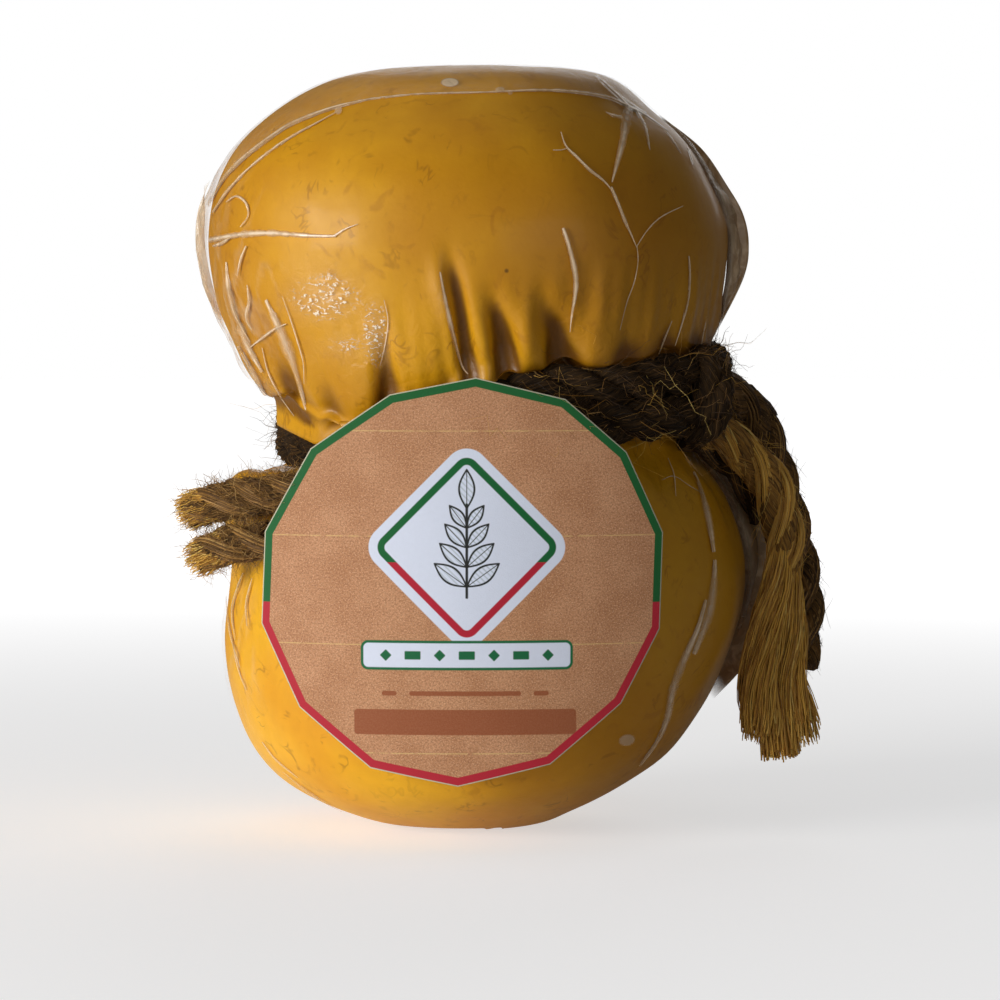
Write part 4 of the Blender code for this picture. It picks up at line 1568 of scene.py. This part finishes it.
# How far the outer rings of the sheet are moved in from its outline, and what is carried for that further in.
LABEL_INSETS = [0.0, 0.13, 0.6, 1.05, 1.6, 2.4]
WELL_INSIDE = 3.0
LABEL_THICKNESS = 0.3
LABEL_SIDE_STEPS = 6


def make_label():
    """A sheet of rings inside the outline, bent round an upright line, with its edges a little lifted."""
    low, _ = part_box("label")
    front = low.y / MM
    rings = [label_ring(inset) for inset in LABEL_INSETS]
    insets = list(LABEL_INSETS)
    for share in (0.8, 0.64, 0.5, 0.38, 0.27, 0.17, 0.08):
        rings.append([corner * share / 0.9 for corner in rings[-1]])
        insets.append(WELL_INSIDE)
    shape = bmesh.new()
    rim_layer = shape.verts.layers.float.new("rim")
    spots = {}

    def vertex(flat, depth, rim):
        bend = flat.x / LABEL_BEND_RADIUS
        lift = 0.25 * (flat.length / 24.0) ** 4 * math.sin(3 * math.atan2(flat.y, flat.x) + 0.6)
        lift += 0.05 * math.sin(flat.x * 0.5 + flat.y * 0.2) * math.sin(flat.y * 0.43)
        radius = LABEL_BEND_RADIUS - depth
        x = LABEL_CENTRE[0] + radius * math.sin(bend)
        y = front + LABEL_BEND_RADIUS - radius * math.cos(bend) - 0.3 * lift + 0.12
        made = shape.verts.new(Vector((x, y, LABEL_CENTRE[1] + flat.y)) * MM)
        made[rim_layer] = rim
        spots[made] = flat
        return made

    sheets = []
    for depth in (0.0, LABEL_THICKNESS):
        rows = []
        for ring, inset in zip(rings, insets):
            row = []
            for k, corner in enumerate(ring):
                after = ring[(k + 1) % len(ring)]
                for step in range(LABEL_SIDE_STEPS):
                    row.append(vertex(corner.lerp(after, step / LABEL_SIDE_STEPS), depth, inset))
            rows.append(row)
        sheets.append((rows, vertex(Vector((0, 0)), depth, WELL_INSIDE)))
    for rows, middle in sheets:
        for outer, inner in zip(rows, rows[1:]):
            for k in range(len(outer)):
                after = (k + 1) % len(outer)
                shape.faces.new([outer[k], outer[after], inner[after], inner[k]])
        for k in range(len(rows[-1])):
            shape.faces.new([rows[-1][k], rows[-1][(k + 1) % len(rows[-1])], middle])
    (front_rows, _), (back_rows, _) = sheets
    for k in range(len(front_rows[0])):
        after = (k + 1) % len(front_rows[0])
        shape.faces.new([front_rows[0][k], back_rows[0][k], back_rows[0][after], front_rows[0][after]])
    bmesh.ops.recalc_face_normals(shape, faces=shape.faces)
    flat_map = shape.loops.layers.uv.new("flat")
    for face in shape.faces:
        for loop in face.loops:
            loop[flat_map].uv = spots[loop.vert] / LABEL_SPAN + Vector((0.5, 0.5))
    mesh = bpy.data.meshes.new("label_sheet")
    shape.to_mesh(mesh)
    shape.free()
    mesh.shade_smooth()
    mesh.materials.append(LABEL_FINISH)
    piece("label_sheet", mesh, "label_paper", "label")


make_label()


# ---------------------------------------------------------------- floor and light

def paint_floor(net):
    """Pale paint that the camera sees fade into the white room, and a glow on its left, unseen by the camera,
    that lights the object from below.
    """
    spot = places(net)
    away = net.length(spot)
    seen = net.add("ShaderNodeLightPath")
    x, _, _ = net.split(spot)
    # paper is a glow on the floor's left that lights the object from below, though it is no lamp; the camera
    # does not see it.
    paper = 0.5 * net.ramp(x, 40.0, -50.0) * (1.0 - net.ramp(away, 60.0, 200.0))
    glow = (0.56 + 0.44 * net.ramp(away, 60.0, 600.0)) * seen + paper * (1.0 - seen)
    lit = net.joined(glow, glow, glow)
    return {"Base Color": rgb(200, 200, 202), "Roughness": 0.9, "Emission Color": lit}


def lay_floor():
    """A round, pale floor."""
    shape = bmesh.new()
    bmesh.ops.create_circle(shape, cap_ends=True, segments=96, radius=2.5)
    mesh = bpy.data.meshes.new("floor")
    shape.to_mesh(mesh)
    shape.free()
    mesh.materials.append(finish("pale floor", paint_floor, Emission_Strength=1.0))
    floor = bpy.data.objects.new("floor", mesh)
    bpy.context.scene.collection.objects.link(floor)


def hang_light(name, place, width, height, watts, colour=(1, 1, 1)):
    """A soft lamp at a place in metres, turned to the object."""
    lamp = bpy.data.lights.new(name, "AREA")
    lamp.shape, lamp.size, lamp.size_y = "RECTANGLE", width, height
    lamp.energy, lamp.color = watts, colour
    obj = bpy.data.objects.new(name, lamp)
    obj.location = Vector(place)
    obj.rotation_mode = "QUATERNION"
    obj.rotation_quaternion = (AIM * MM - obj.location).to_track_quat("-Z", "Y")
    bpy.context.scene.collection.objects.link(obj)


def light_sky(strength):
    """A white room for the camera, which lights the object with this strength."""
    world = bpy.data.worlds.new("studio")
    world.use_nodes = True
    world.node_tree.nodes.clear()
    net = Net(world.node_tree)
    seen = net.add("ShaderNodeLightPath")
    amount = seen + (1.0 - seen) * strength
    sky = net.add("ShaderNodeBackground", None, {"Color": (1, 1, 1, 1), "Strength": amount})
    net.add("ShaderNodeOutputWorld", None, {"Surface": sky})
    bpy.context.scene.world = world


lay_floor()
hang_light("window", (-0.66, -0.48, 0.15), 0.4, 0.3, 5.6, (1.0, 0.975, 0.94))
hang_light("front", (0.36, -0.75, 0.12), 0.5, 0.3, 0.8)
hang_light("ceiling", (-0.2, 0.0, 0.9), 0.7, 0.7, 0.45)
hang_light("rear", (0.15, 0.78, 0.35), 0.5, 0.4, 1.2)
light_sky(0.08)
bpy.context.scene.view_settings.view_transform = "Standard"
